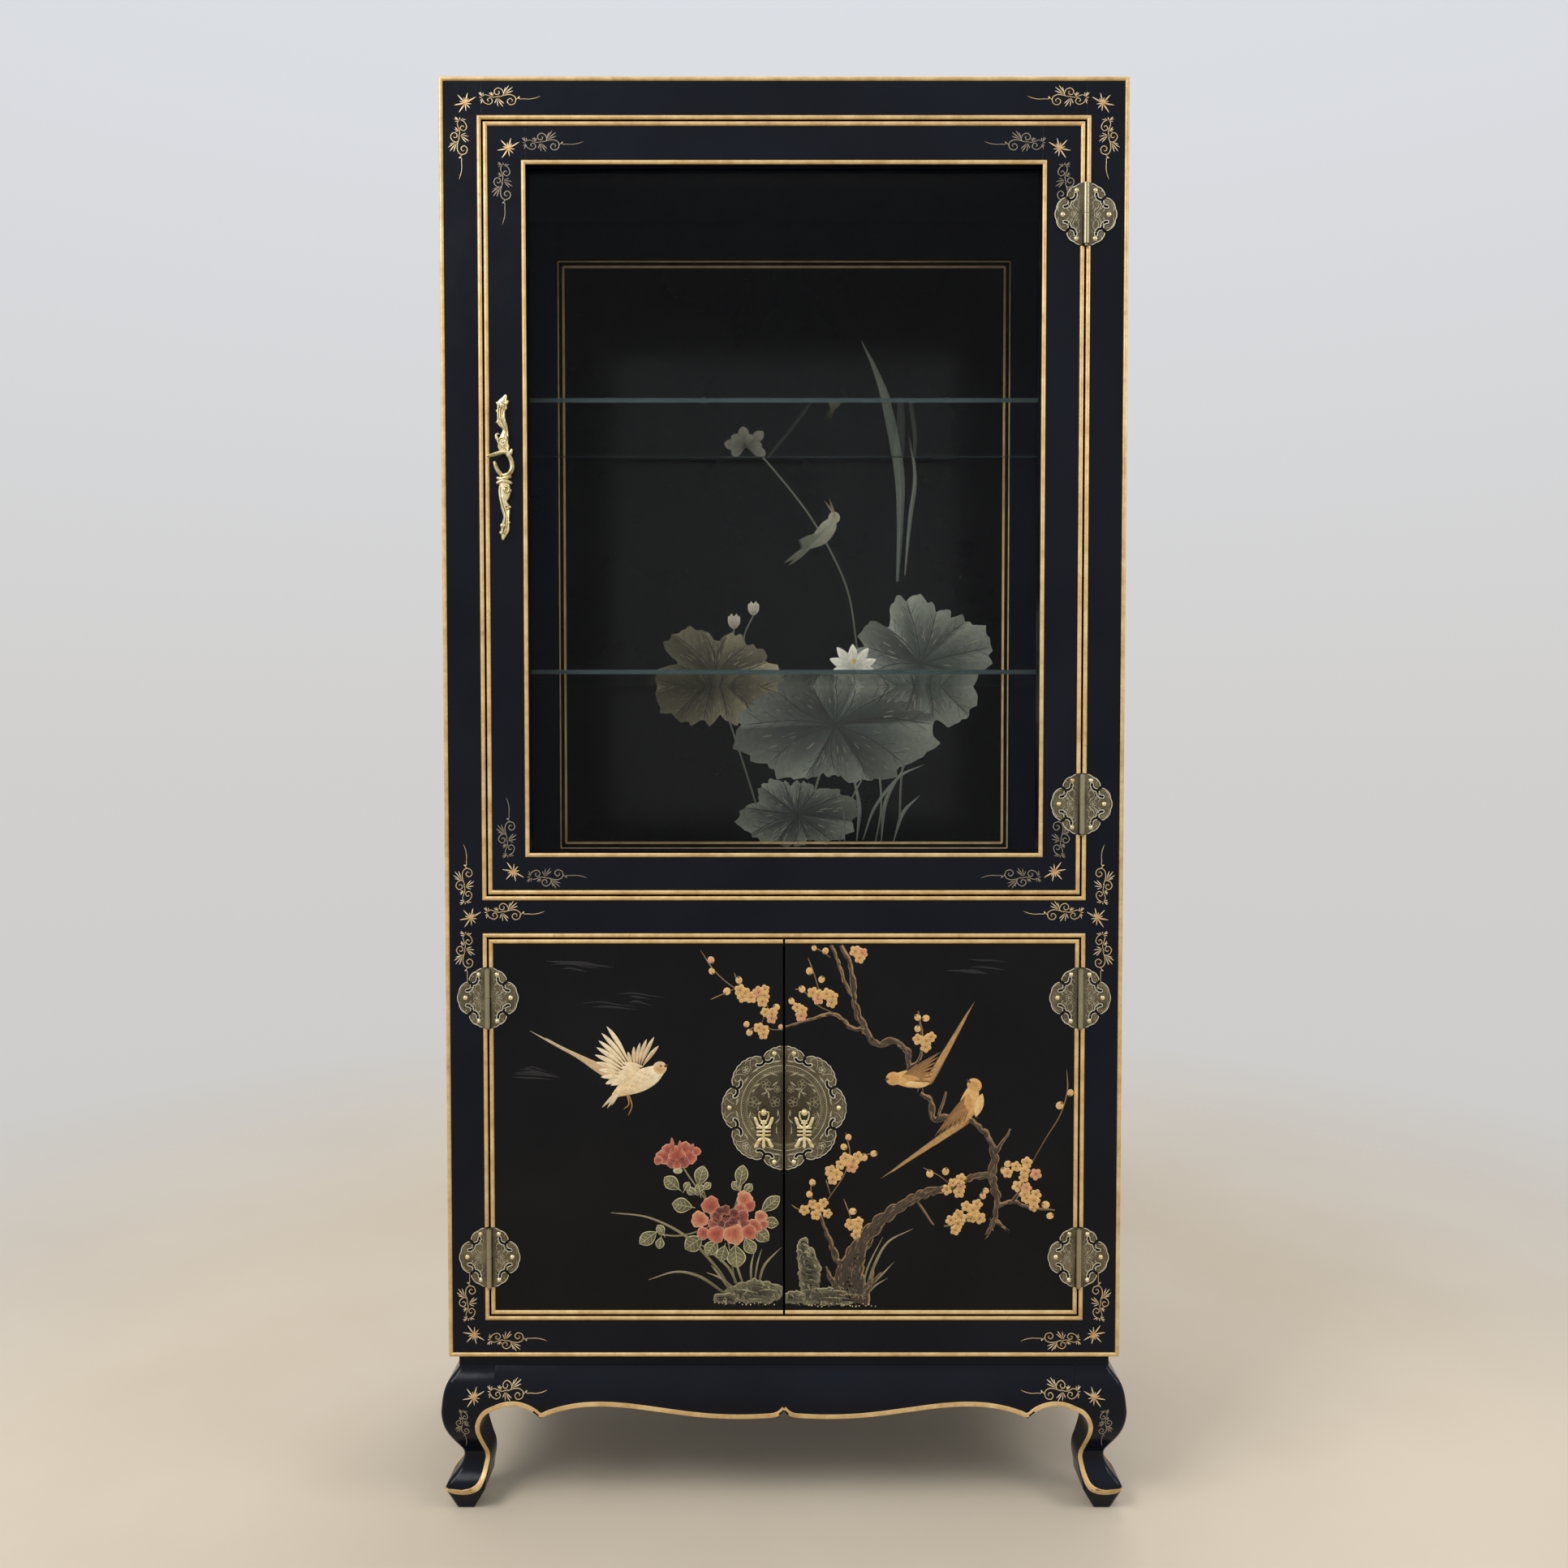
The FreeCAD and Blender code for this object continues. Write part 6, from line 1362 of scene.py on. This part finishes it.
def flower_lines(relief, x, z, size, tint, turn=0.0):
    """An engraved five-petalled flower."""
    for k in range(5):
        middle = polar(x, z, 0.62 * size, turn + k * TURN / 5)
        ring = [polar(*middle, 0.36 * size, angle) for angle in np.linspace(0, TURN, 9)]
        relief.ribbon(smooth(ring, 0.8)[:-1], 0.6, tint, closed=True)
    relief.dot(x, z, 0.2 * size, tint, sides=7)


def double_line(relief, points, width, tint):
    """A pale engraved line with a painted shadow along its lower edge."""
    # Painted shadow, set a little below and to the right of the line.
    relief.line(np.array(points) + np.array([0.25, -0.45]), width, SHADED, lift=-0.05)
    relief.line(points, width, tint)


def engrave_hinge(relief, loop):
    """Leafy scrolls beside the barrel and a curl in each lobe."""
    centre_z = (loop[:, 1].max() + loop[:, 1].min()) / 2
    out = 1 if abs(loop[:, 0]).max() > HINGE_X + 20 else -1
    side = 1 if loop[:, 0].mean() > 0 else -1

    def spots(*points):
        return [(side * (HINGE_X + out * a), centre_z + b) for a, b in points]

    for b in (-1, 1):
        for width, points in (
            (0.9, ((8, 2 * b), (14, 7 * b), (17, 13 * b), (13, 18 * b), (9, 15 * b), (11, 11 * b))),
            (0.8, ((15, 4 * b), (21, 8 * b), (23, 13 * b), (19, 15 * b))),
            (0.8, ((7.5, 20 * b), (9, 24 * b), (14, 23 * b))),
            (0.9, ((8, 28 * b), (12, 33 * b), (18, 34 * b), (21, 30 * b), (18, 28 * b))),
            (0.9, ((27, 17 * b), (32, 17 * b), (36, 11 * b), (36.4, 4 * b))),
            (0.7, ((7, 6 * b), (10, 10 * b), (8, 13 * b))),
        ):
            double_line(relief, spots(*points), width, ENGRAVED)
        for root, end in (
            ((10, 4 * b), (13, 9 * b)), ((17, 5 * b), (20, 11 * b)), ((9, 17 * b), (14, 21 * b)),
            ((22, 3 * b), (25, 8 * b)),
        ):
            relief.blade(*spots(root, end), 2.2, ENGRAVED_DIM, ENGRAVED)
    flower_lines(relief, *spots((15, 0))[0], 4.6, ENGRAVED)


def engrave_face(relief, loop):
    """A darker middle inside two rings, with flowers, and a spray in each lobe."""
    side = 1 if loop[:, 0].mean() > 0 else -1
    inner = 0.6 * FACE_R
    relief.pad(0, FACE_Z, np.full(72, inner), (linear(65, 60, 47), linear(71, 65, 51), linear(89, 82, 63)),
               -0.07, 0.01)
    for radius, width, tint in ((inner, 0.9, FACE_DIM), (0.645 * FACE_R, 0.5, SHADED),
                                (0.69 * FACE_R, 0.9, FACE_LINE)):
        end = math.acos(2.6 / radius)
        turns = np.linspace(-end, end, 72)
        relief.ribbon(np.stack([side * radius * np.cos(turns), FACE_Z + radius * np.sin(turns)], 1), width,
                      tint)
    near, far = 0.615 * FACE_R, 0.675 * FACE_R
    for k in range(52):
        angle = math.radians(-86 + 172 * k / 51)
        relief.line([oval(0, FACE_Z, side * near, near, angle),
                     oval(0, FACE_Z, side * far, far, angle + 0.04)],
                    0.5, FACE_DIM)
    for x, z, size, turn in ((41, 8, 7.5, 0), (12, 8, 7, 0.5), (24, 32, 6.5, 0.2), (9, 25, 4.5, 0.9),
                             (42, -12, 5, 0.3)):
        flower_lines(relief, side * x, FACE_Z + z, size, FACE_DIM, turn)
    for points in (
        [(8, 36), (14, 26), (22, 22), (28, 15)], [(31, 33), (38, 26), (41, 18)],
        [(44, -4), (45, -16), (39, -26), (42, -31)], [(8, -2), (6, -14), (10, -24), (8, -38)],
        [(14, -43), (22, -45), (30, -40), (36, -33)], [(8, 43), (17, 45), (27, 41)],
        [(30, 8), (34, 2), (33, -6)], [(20, 12), (19, 18), (24, 24)],
    ):
        double_line(relief, [(side * x, FACE_Z + z) for x, z in points], 0.7, FACE_DIM)
        for (x, z), (p, q) in zip(points, points[1:]):
            relief.blade((side * x, FACE_Z + z), (side * (p + 2), FACE_Z + q + 3), 1.8, FACE_DIM, FACE_LINE)
    for degrees in (-90, -45, 0, 45, 90):
        ahead = heading(math.radians(degrees))
        across = leftward(ahead)

        def spots(*points):
            return [(side * x, FACE_Z + z) for x, z in (ahead * a + across * b for a, b in points)]

        for b in (-1, 1):
            if abs(degrees) == 90 and b * degrees > 0:
                continue
            for points in (((66, 5 * b), (73, 9 * b), (77, 16 * b), (71, 20 * b), (67, 15 * b),
                            (71, 11 * b)),
                           ((78, 4 * b), (79, 10 * b), (77, 13 * b)),
                           ((62, 6 * b), (63, 11 * b), (60, 16 * b))):
                double_line(relief, spots(*points), 0.8, FACE_LINE)
            relief.blade(*spots((64, 3 * b), (61, 13 * b)), 2.2, FACE_DIM, FACE_LINE)
        if abs(degrees) == 45:
            flower_lines(relief, *spots((72, 0))[0], 5.2, FACE_LINE)


for node in ("glass_door_frame_leaves", "lower_door_frame_leaves", "glass_door_leaves", "left_door_leaves",
             "right_door_leaves"):
    rims(f"{node}_rims", node, BODY_OF[node], engrave_hinge, (HINGE_X, 7.4))
for side, clip in (("left", (-FACE_R, -1.6)), ("right", (1.6, FACE_R))):
    rims(f"{side}_face_rims", f"{side}_face_plate", f"{side}_door", engrave_face, (0.0, 3.4), clip)


# Cast and drop pulls

def limb(work, points, sections=12):
    """A closed tapering limb; each point is x, z, half width, y of its middle and half depth."""
    rows = smooth(points, 1.0)
    rows[:, [2, 4]] = np.maximum(rows[:, [2, 4]], 0.2)
    ahead = directions(rows[:, :2])[0]
    turns = turns_of(sections)
    rings = []
    for (x, z, half, y, deep), (dx, dz) in zip(rows, ahead):
        rings.append([work.verts.new(((x - dz * half * c) * MM, (y + deep * s) * MM,
                                      (z + dx * half * c) * MM))
                      for c, s in zip(np.cos(turns), np.sin(turns))])
    bridge(work, rings)
    for at, sign in ((0, -1), (-1, 1)):
        x, z, half, y, _ = rows[at]
        dx, dz = ahead[at] * sign * half * 0.8
        pole = work.verts.new(((x + dx) * MM, y * MM, (z + dz) * MM))
        for k in range(sections):
            work.faces.new((rings[at][k], rings[at][(k + 1) % sections], pole))


def cast(name, limbs, voxel, body, node, seat=None):
    """Limbs fused into one smooth casting that stands for a CAD node; seat is the y of a flat back."""
    work = bmesh.new()
    for points in limbs:
        limb(work, points)
    bmesh.ops.recalc_face_normals(work, faces=work.faces)
    model = bpy.data.objects.new(f"{name}_model", mesh_of(work, f"{name}_rough"))
    SCENE.collection.objects.link(model)
    fuse = model.modifiers.new("fuse", "REMESH")
    fuse.mode = "VOXEL"
    fuse.voxel_size = voxel * MM
    soften = model.modifiers.new("soften", "SMOOTH")
    soften.factor = 0.5
    soften.iterations = 1
    mesh = bpy.data.meshes.new_from_object(model.evaluated_get(bpy.context.evaluated_depsgraph_get()))
    bpy.data.objects.remove(model)
    mesh.name = name
    if seat is not None:
        for vert in mesh.vertices:
            vert.co.y = min(vert.co.y, seat * MM)
    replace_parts(show(name, mesh, PULL_BRASS, body), node)


def cast_pull():
    """Leafy scrolled pull with a finger lip across its middle."""
    # Middle of the pull. Rows of a body are x, z, half width and depth from there.
    cx, cz = -368.0, 1395.5
    limbs = []

    def body(*rows):
        limbs.append([(cx + x, cz + z, half, FRONT - 0.75 * deep, deep) for x, z, half, deep in rows])

    def leaf_tips(*tips):
        for x, z, dx, dz in tips:
            body((x, z, 1.1, 2.2), (x + 0.5 * dx, z + 0.5 * dz, 2.0, 3.0), (x + dx, z + dz, 2.2, 3.0))

    def ridge(half, raise_by, *spots):
        limbs.append([(cx + x, cz + z, half, FRONT - 1.0 - raise_by, 2.4) for x, z in spots])

    def curl(x, z, radius, start, end, half, raise_by):
        spots = []
        for share in np.linspace(0, 1, 9):
            turn = math.radians(start + (end - start) * share)
            spots.append(polar(x, z, radius * (1 - 0.6 * share), turn))
        ridge(half, raise_by, *spots)

    body((4, 93, 1.6, 2.4), (1.5, 88, 3.8, 2.8), (-1, 82, 6.4, 3.0), (-2.4, 74, 5.4, 3.2),
         (-2.6, 66, 5.2, 3.4), (-1.8, 58, 6.0, 3.6), (2.4, 50.5, 3.9, 3.6), (2.8, 45, 4.0, 3.6),
         (1.4, 39, 5.4, 3.8), (-0.2, 31, 7.0, 3.8), (0.6, 25, 7.4, 3.8), (2, 20, 5.6, 3.6))
    body((-2, 34, 2.4, 3.4), (-7.2, 35.4, 2.3, 3.4), (-9.2, 39.6, 1.7, 3.2), (-7.6, 42.8, 1.2, 2.8),
         (-5.2, 42, 0.9, 2.4))
    leaf_tips((6.6, 86, -3, -5), (-8.6, 84, 3.5, -4), (4.8, 77.6, -3.6, -3.6), (-9, 73.4, 4, -3),
              (-9.2, 57, 4, 2))
    ridge(1.0, 4.2, (-4.6, 80), (-6, 70), (-5.4, 61), (-0.8, 52.6), (4, 45), (4.8, 36), (2, 27))
    ridge(0.9, 4.4, (2.2, 81), (-0.4, 71), (-0.8, 62), (2.4, 54.6), (6, 47), (6.8, 38))
    ridge(0.8, 4.4, (-1.2, 84), (-3.2, 72), (-3.0, 61), (1.0, 51), (4.2, 46.4))
    ridge(0.9, 4.6, (-7, 38), (-6, 31), (-2, 26), (4, 23.4))
    curl(-0.6, 33, 4.0, 150, -190, 1.0, 4.6)
    body((2, 21, 2.8, 4), (8.4, 17, 2.6, 4), (11.4, 22.6, 1.2, 3))
    body((3, 19, 2.6, 4), (8.6, 12, 3.0, 4.2), (11.4, 4, 3.0, 4.2), (11, -4, 2.9, 4.2),
         (6.8, -10, 2.8, 4.2), (0, -12, 2.8, 4))
    body((-11.4, 6, 2.0, 3.4), (-9.6, 0, 2.6, 4), (-6.6, -6, 2.7, 4), (-2, -11.4, 2.8, 4))
    ridge(0.8, 5.6, (8, 14), (12.6, 4), (11.6, -5), (6, -11))
    ridge(0.8, 5.4, (-10, 2), (-7, -5.6), (-3, -10))
    body((-8, -15, 1.9, 3.6), (-2, -16.2, 2.4, 4.4), (4, -14.8, 2.4, 4.4), (9.8, -12.6, 1.7, 3.6))
    body((-8.4, -21.6, 1.8, 3.6), (-2, -19.4, 2.4, 4.4), (5, -19.6, 2.4, 4.4), (10.4, -21.6, 1.8, 3.6))
    body((1, -21, 6.2, 3.6), (1.2, -30, 7.8, 3.6), (0.8, -38, 7.2, 3.6), (-0.2, -46, 4.6, 3.6),
         (2, -52.5, 5.8, 3.4), (3.2, -60, 4.8, 3.4), (3.4, -67, 4.0, 3.4), (2.4, -75, 5.0, 3.2),
         (1.4, -83, 5.4, 3.0), (-0.4, -90, 3.2, 2.6), (-1.6, -95, 1.4, 2.0))
    leaf_tips((9.4, -53, -4, 1), (9.6, -30, -3, -3), (-4.4, -76, 3, -2), (7.6, -72, -3, -3),
              (-5.4, -85, 3, -2))
    ridge(1.0, 4.4, (-4, -26), (-4.6, -36), (-3, -46), (0.2, -56), (2.2, -66), (0.6, -76), (-1.6, -87))
    ridge(0.9, 4.4, (-1, -40), (1.4, -50), (4.2, -60), (4.8, -69), (4, -78), (1, -88))
    curl(4.4, -31, 4.6, 110, -250, 1.1, 4.6)
    curl(5.0, -54, 3.0, 160, -140, 0.9, 4.2)
    limbs.append([(cx + x, cz + z, half, y, deep) for x, z, half, y, deep in (
        (4, 19, 2.4, -201, 3.4), (-2, 16.8, 2.3, -204, 5), (-8, 14, 2.0, -207, 5.6),
        (-14, 11.4, 1.6, -209.6, 4.8), (-17.6, 9.8, 1.1, -211, 3.4))])
    cast("glass_door_cast_pull", limbs, 0.36, "glass_door", "glass_door_pull", FRONT)


def drop_pull(side):
    """Drop of level bars on a stem, with flared arms and feet, hung from a wire loop."""
    # Middle of the pull's hinge, and the height that rows of a bar drop from.
    cx, y, cz = PIVOTS[f"{side}_pull_swing"]
    top = cz - 13.0
    limbs = []

    def bar(*rows):
        limbs.append([(cx + x, top - drop, half, y, deep) for x, drop, half, deep in rows])

    half_loop = ((0, -13), (4.4, -13), (5.6, -12.6), (6.3, -10.8), (5.8, -6), (3.8, -1.4), (0, 0.4))
    loop = half_loop + tuple((-x, drop) for x, drop in half_loop[-2::-1]) + ((3.0, -13),)
    bar(*[(x, drop, 1.25, 1.25) for x, drop in loop])
    bar((0, -1.5, 2.0, 1.9), (0, 12, 2.0, 1.7), (0, 24, 2.0, 1.8), (0, 30, 2.4, 1.9), (0, 33.6, 2.4, 1.9),
        (0, 36, 0.9, 1.3))
    for half, drop, thick in ((3.8, 2.0, 1.4), (9.2, 8.2, 1.5), (8.8, 13.1, 1.45), (9.2, 18.0, 1.5),
                              (5.4, 22.6, 1.4)):
        bar((-half, drop, thick * 0.9, 1.6), (-half / 2, drop, thick, 1.8), (half / 2, drop, thick, 1.8),
            (half, drop, thick * 0.9, 1.6))
    for way in (-1, 1):
        bar((way * 2.5, 8.4, 2.0, 1.7), (way * 7.0, 5.6, 2.3, 1.8), (way * 9.4, 0.8, 2.4, 1.8),
            (way * 10.6, -3.0, 2.4, 1.8), (way * 11.8, -5.2, 2.0, 1.6))
        bar((way * 2.5, 22.6, 2.0, 1.7), (way * 6.4, 25.4, 2.4, 1.8), (way * 8.4, 29.4, 2.6, 1.8),
            (way * 10.0, 32.4, 2.6, 1.8), (way * 11.6, 33.8, 2.2, 1.6))
    cast(f"{side}_drop", limbs, 0.3, f"{side}_pull", f"{side}_pull")
    knob_back = -202.7
    dome(f"{side}_pull_knob", cx, knob_back, cz, f"{side}_door")


def dome(name, x, y, z, body):
    """A round knob with a low collar, facing the front."""
    # Radius and height of each ring.
    profile = ((3.0, 0.0), (4.1, 0.0), (4.5, 0.35), (4.5, 0.8), (4.15, 1.1), (4.2, 1.5), (3.9, 2.5),
               (3.2, 3.3), (2.1, 3.85), (1.0, 4.1))
    work = bmesh.new()
    sides = turns_of(32)
    rings = []
    for radius, height in profile:
        spots = ring_points(x, z, radius, sides)
        rings.append([work.verts.new((px * MM, (y - height) * MM, pz * MM)) for px, pz in spots])
    bridge(work, rings)
    work.faces.new(rings[0])
    work.faces.new(rings[-1])
    bmesh.ops.recalc_face_normals(work, faces=work.faces)
    show(name, mesh_of(work, name), PULL_BRASS, body)


cast_pull()
drop_pull("left")
drop_pull("right")


# Floor, light and camera

# Metres: the floor's radius, its drop below the feet, and the distances between which it fades.
FLOOR_RADIUS = 2.7
FLOOR_DROP = 0.0003
FADE = (1.1, 2.6)
# Background colours below, level with and above the middle.
BELOW = (0.56, 0.545, 0.52, 1)
LEVEL = (0.64, 0.63, 0.62, 1)
ABOVE = (0.78, 0.83, 0.92, 1)
# Name, place, target, size and watts of each lamp.
LAMPS = (
    ("key", (-1.9, -1.7, 3.0), (0.0, -0.1, 0.9), 1.5, 70),
    ("fill", (2.3, -1.2, 2.2), (0.0, -0.1, 0.8), 1.2, 26),
    ("rear", (0.6, 2.4, 4.0), (0.0, 0.2, 0.9), 1.8, 48),
)
# The photo's camera: place, downward tilt, and focal length and sensor in millimetres.
CAMERA_PLACE = (0.0, -1.745, 1.024)
CAMERA_TILT = math.radians(1.66)
LENS = 26.89
SENSOR = 36.0


def floor():
    """A round pale floor whose rim fades into the background."""
    made = Shader("pale_floor", Specular_IOR_Level=0.1, Roughness=0.8)
    tints = made.ramp(made.noise(1.6, 5.0), (0.3, linear(192, 178, 157)), (0.7, linear(199, 186, 166)))
    made.set("Base Color", tints)
    tree = made.tree
    away = tree.nodes.new("ShaderNodeVectorMath")
    away.operation = "LENGTH"
    made.link(made.place, away.inputs[0])
    fade = made.range(away.outputs["Value"], 0.0, 1.0, *FADE)
    clear = tree.nodes.new("ShaderNodeBsdfTransparent")
    mix = tree.nodes.new("ShaderNodeMixShader")
    made.link(fade, mix.inputs["Fac"])
    made.link(made.shader.outputs["BSDF"], mix.inputs[1])
    made.link(clear.outputs["BSDF"], mix.inputs[2])
    made.link(mix.outputs["Shader"], tree.nodes["Material Output"].inputs["Surface"])
    work = bmesh.new()
    bmesh.ops.create_circle(work, cap_ends=True, segments=96, radius=FLOOR_RADIUS)
    mesh = mesh_of(work, "floor")
    mesh.materials.append(made.material)
    plane = bpy.data.objects.new("floor", mesh)
    plane.location.z = -FLOOR_DROP
    SCENE.collection.objects.link(plane)


def world():
    """A pale background, a little brighter overhead."""
    made = bpy.data.worlds.new("pale_background")
    made.use_nodes = True
    tree = made.node_tree
    split = tree.nodes.new("ShaderNodeSeparateXYZ")
    tree.links.new(tree.nodes.new("ShaderNodeTexCoord").outputs["Generated"], split.inputs["Vector"])
    height = tree.nodes.new("ShaderNodeMapRange")
    height.inputs["From Min"].default_value = -1.0
    tree.links.new(split.outputs["Z"], height.inputs["Value"])
    ramp = tree.nodes.new("ShaderNodeValToRGB")
    ramp.color_ramp.elements[0].color = BELOW
    ramp.color_ramp.elements[1].color = ABOVE
    ramp.color_ramp.elements.new(0.5).color = LEVEL
    tree.links.new(height.outputs["Result"], ramp.inputs["Fac"])
    tree.links.new(ramp.outputs["Color"], tree.nodes["Background"].inputs["Color"])
    SCENE.world = made


def lamp(name, place, target, size, power):
    """A square soft lamp aimed at a spot."""
    data = bpy.data.lights.new(name, "AREA")
    data.size = size
    data.energy = power
    made = bpy.data.objects.new(name, data)
    made.location = place
    made.rotation_euler = (Vector(target) - Vector(place)).to_track_quat("-Z", "Y").to_euler()
    SCENE.collection.objects.link(made)


def camera():
    """The camera at the photo's angle."""
    data = bpy.data.cameras.new("camera")
    data.lens = LENS
    data.sensor_width = SENSOR
    made = bpy.data.objects.new("camera", data)
    made.location = CAMERA_PLACE
    made.rotation_euler = (math.pi / 2 - CAMERA_TILT, 0.0, 0.0)
    SCENE.collection.objects.link(made)
    SCENE.camera = made


floor()
world()
for settings in LAMPS:
    lamp(*settings)
camera()
SCENE.view_settings.view_transform = "Standard"
bpy.context.view_layer.update()
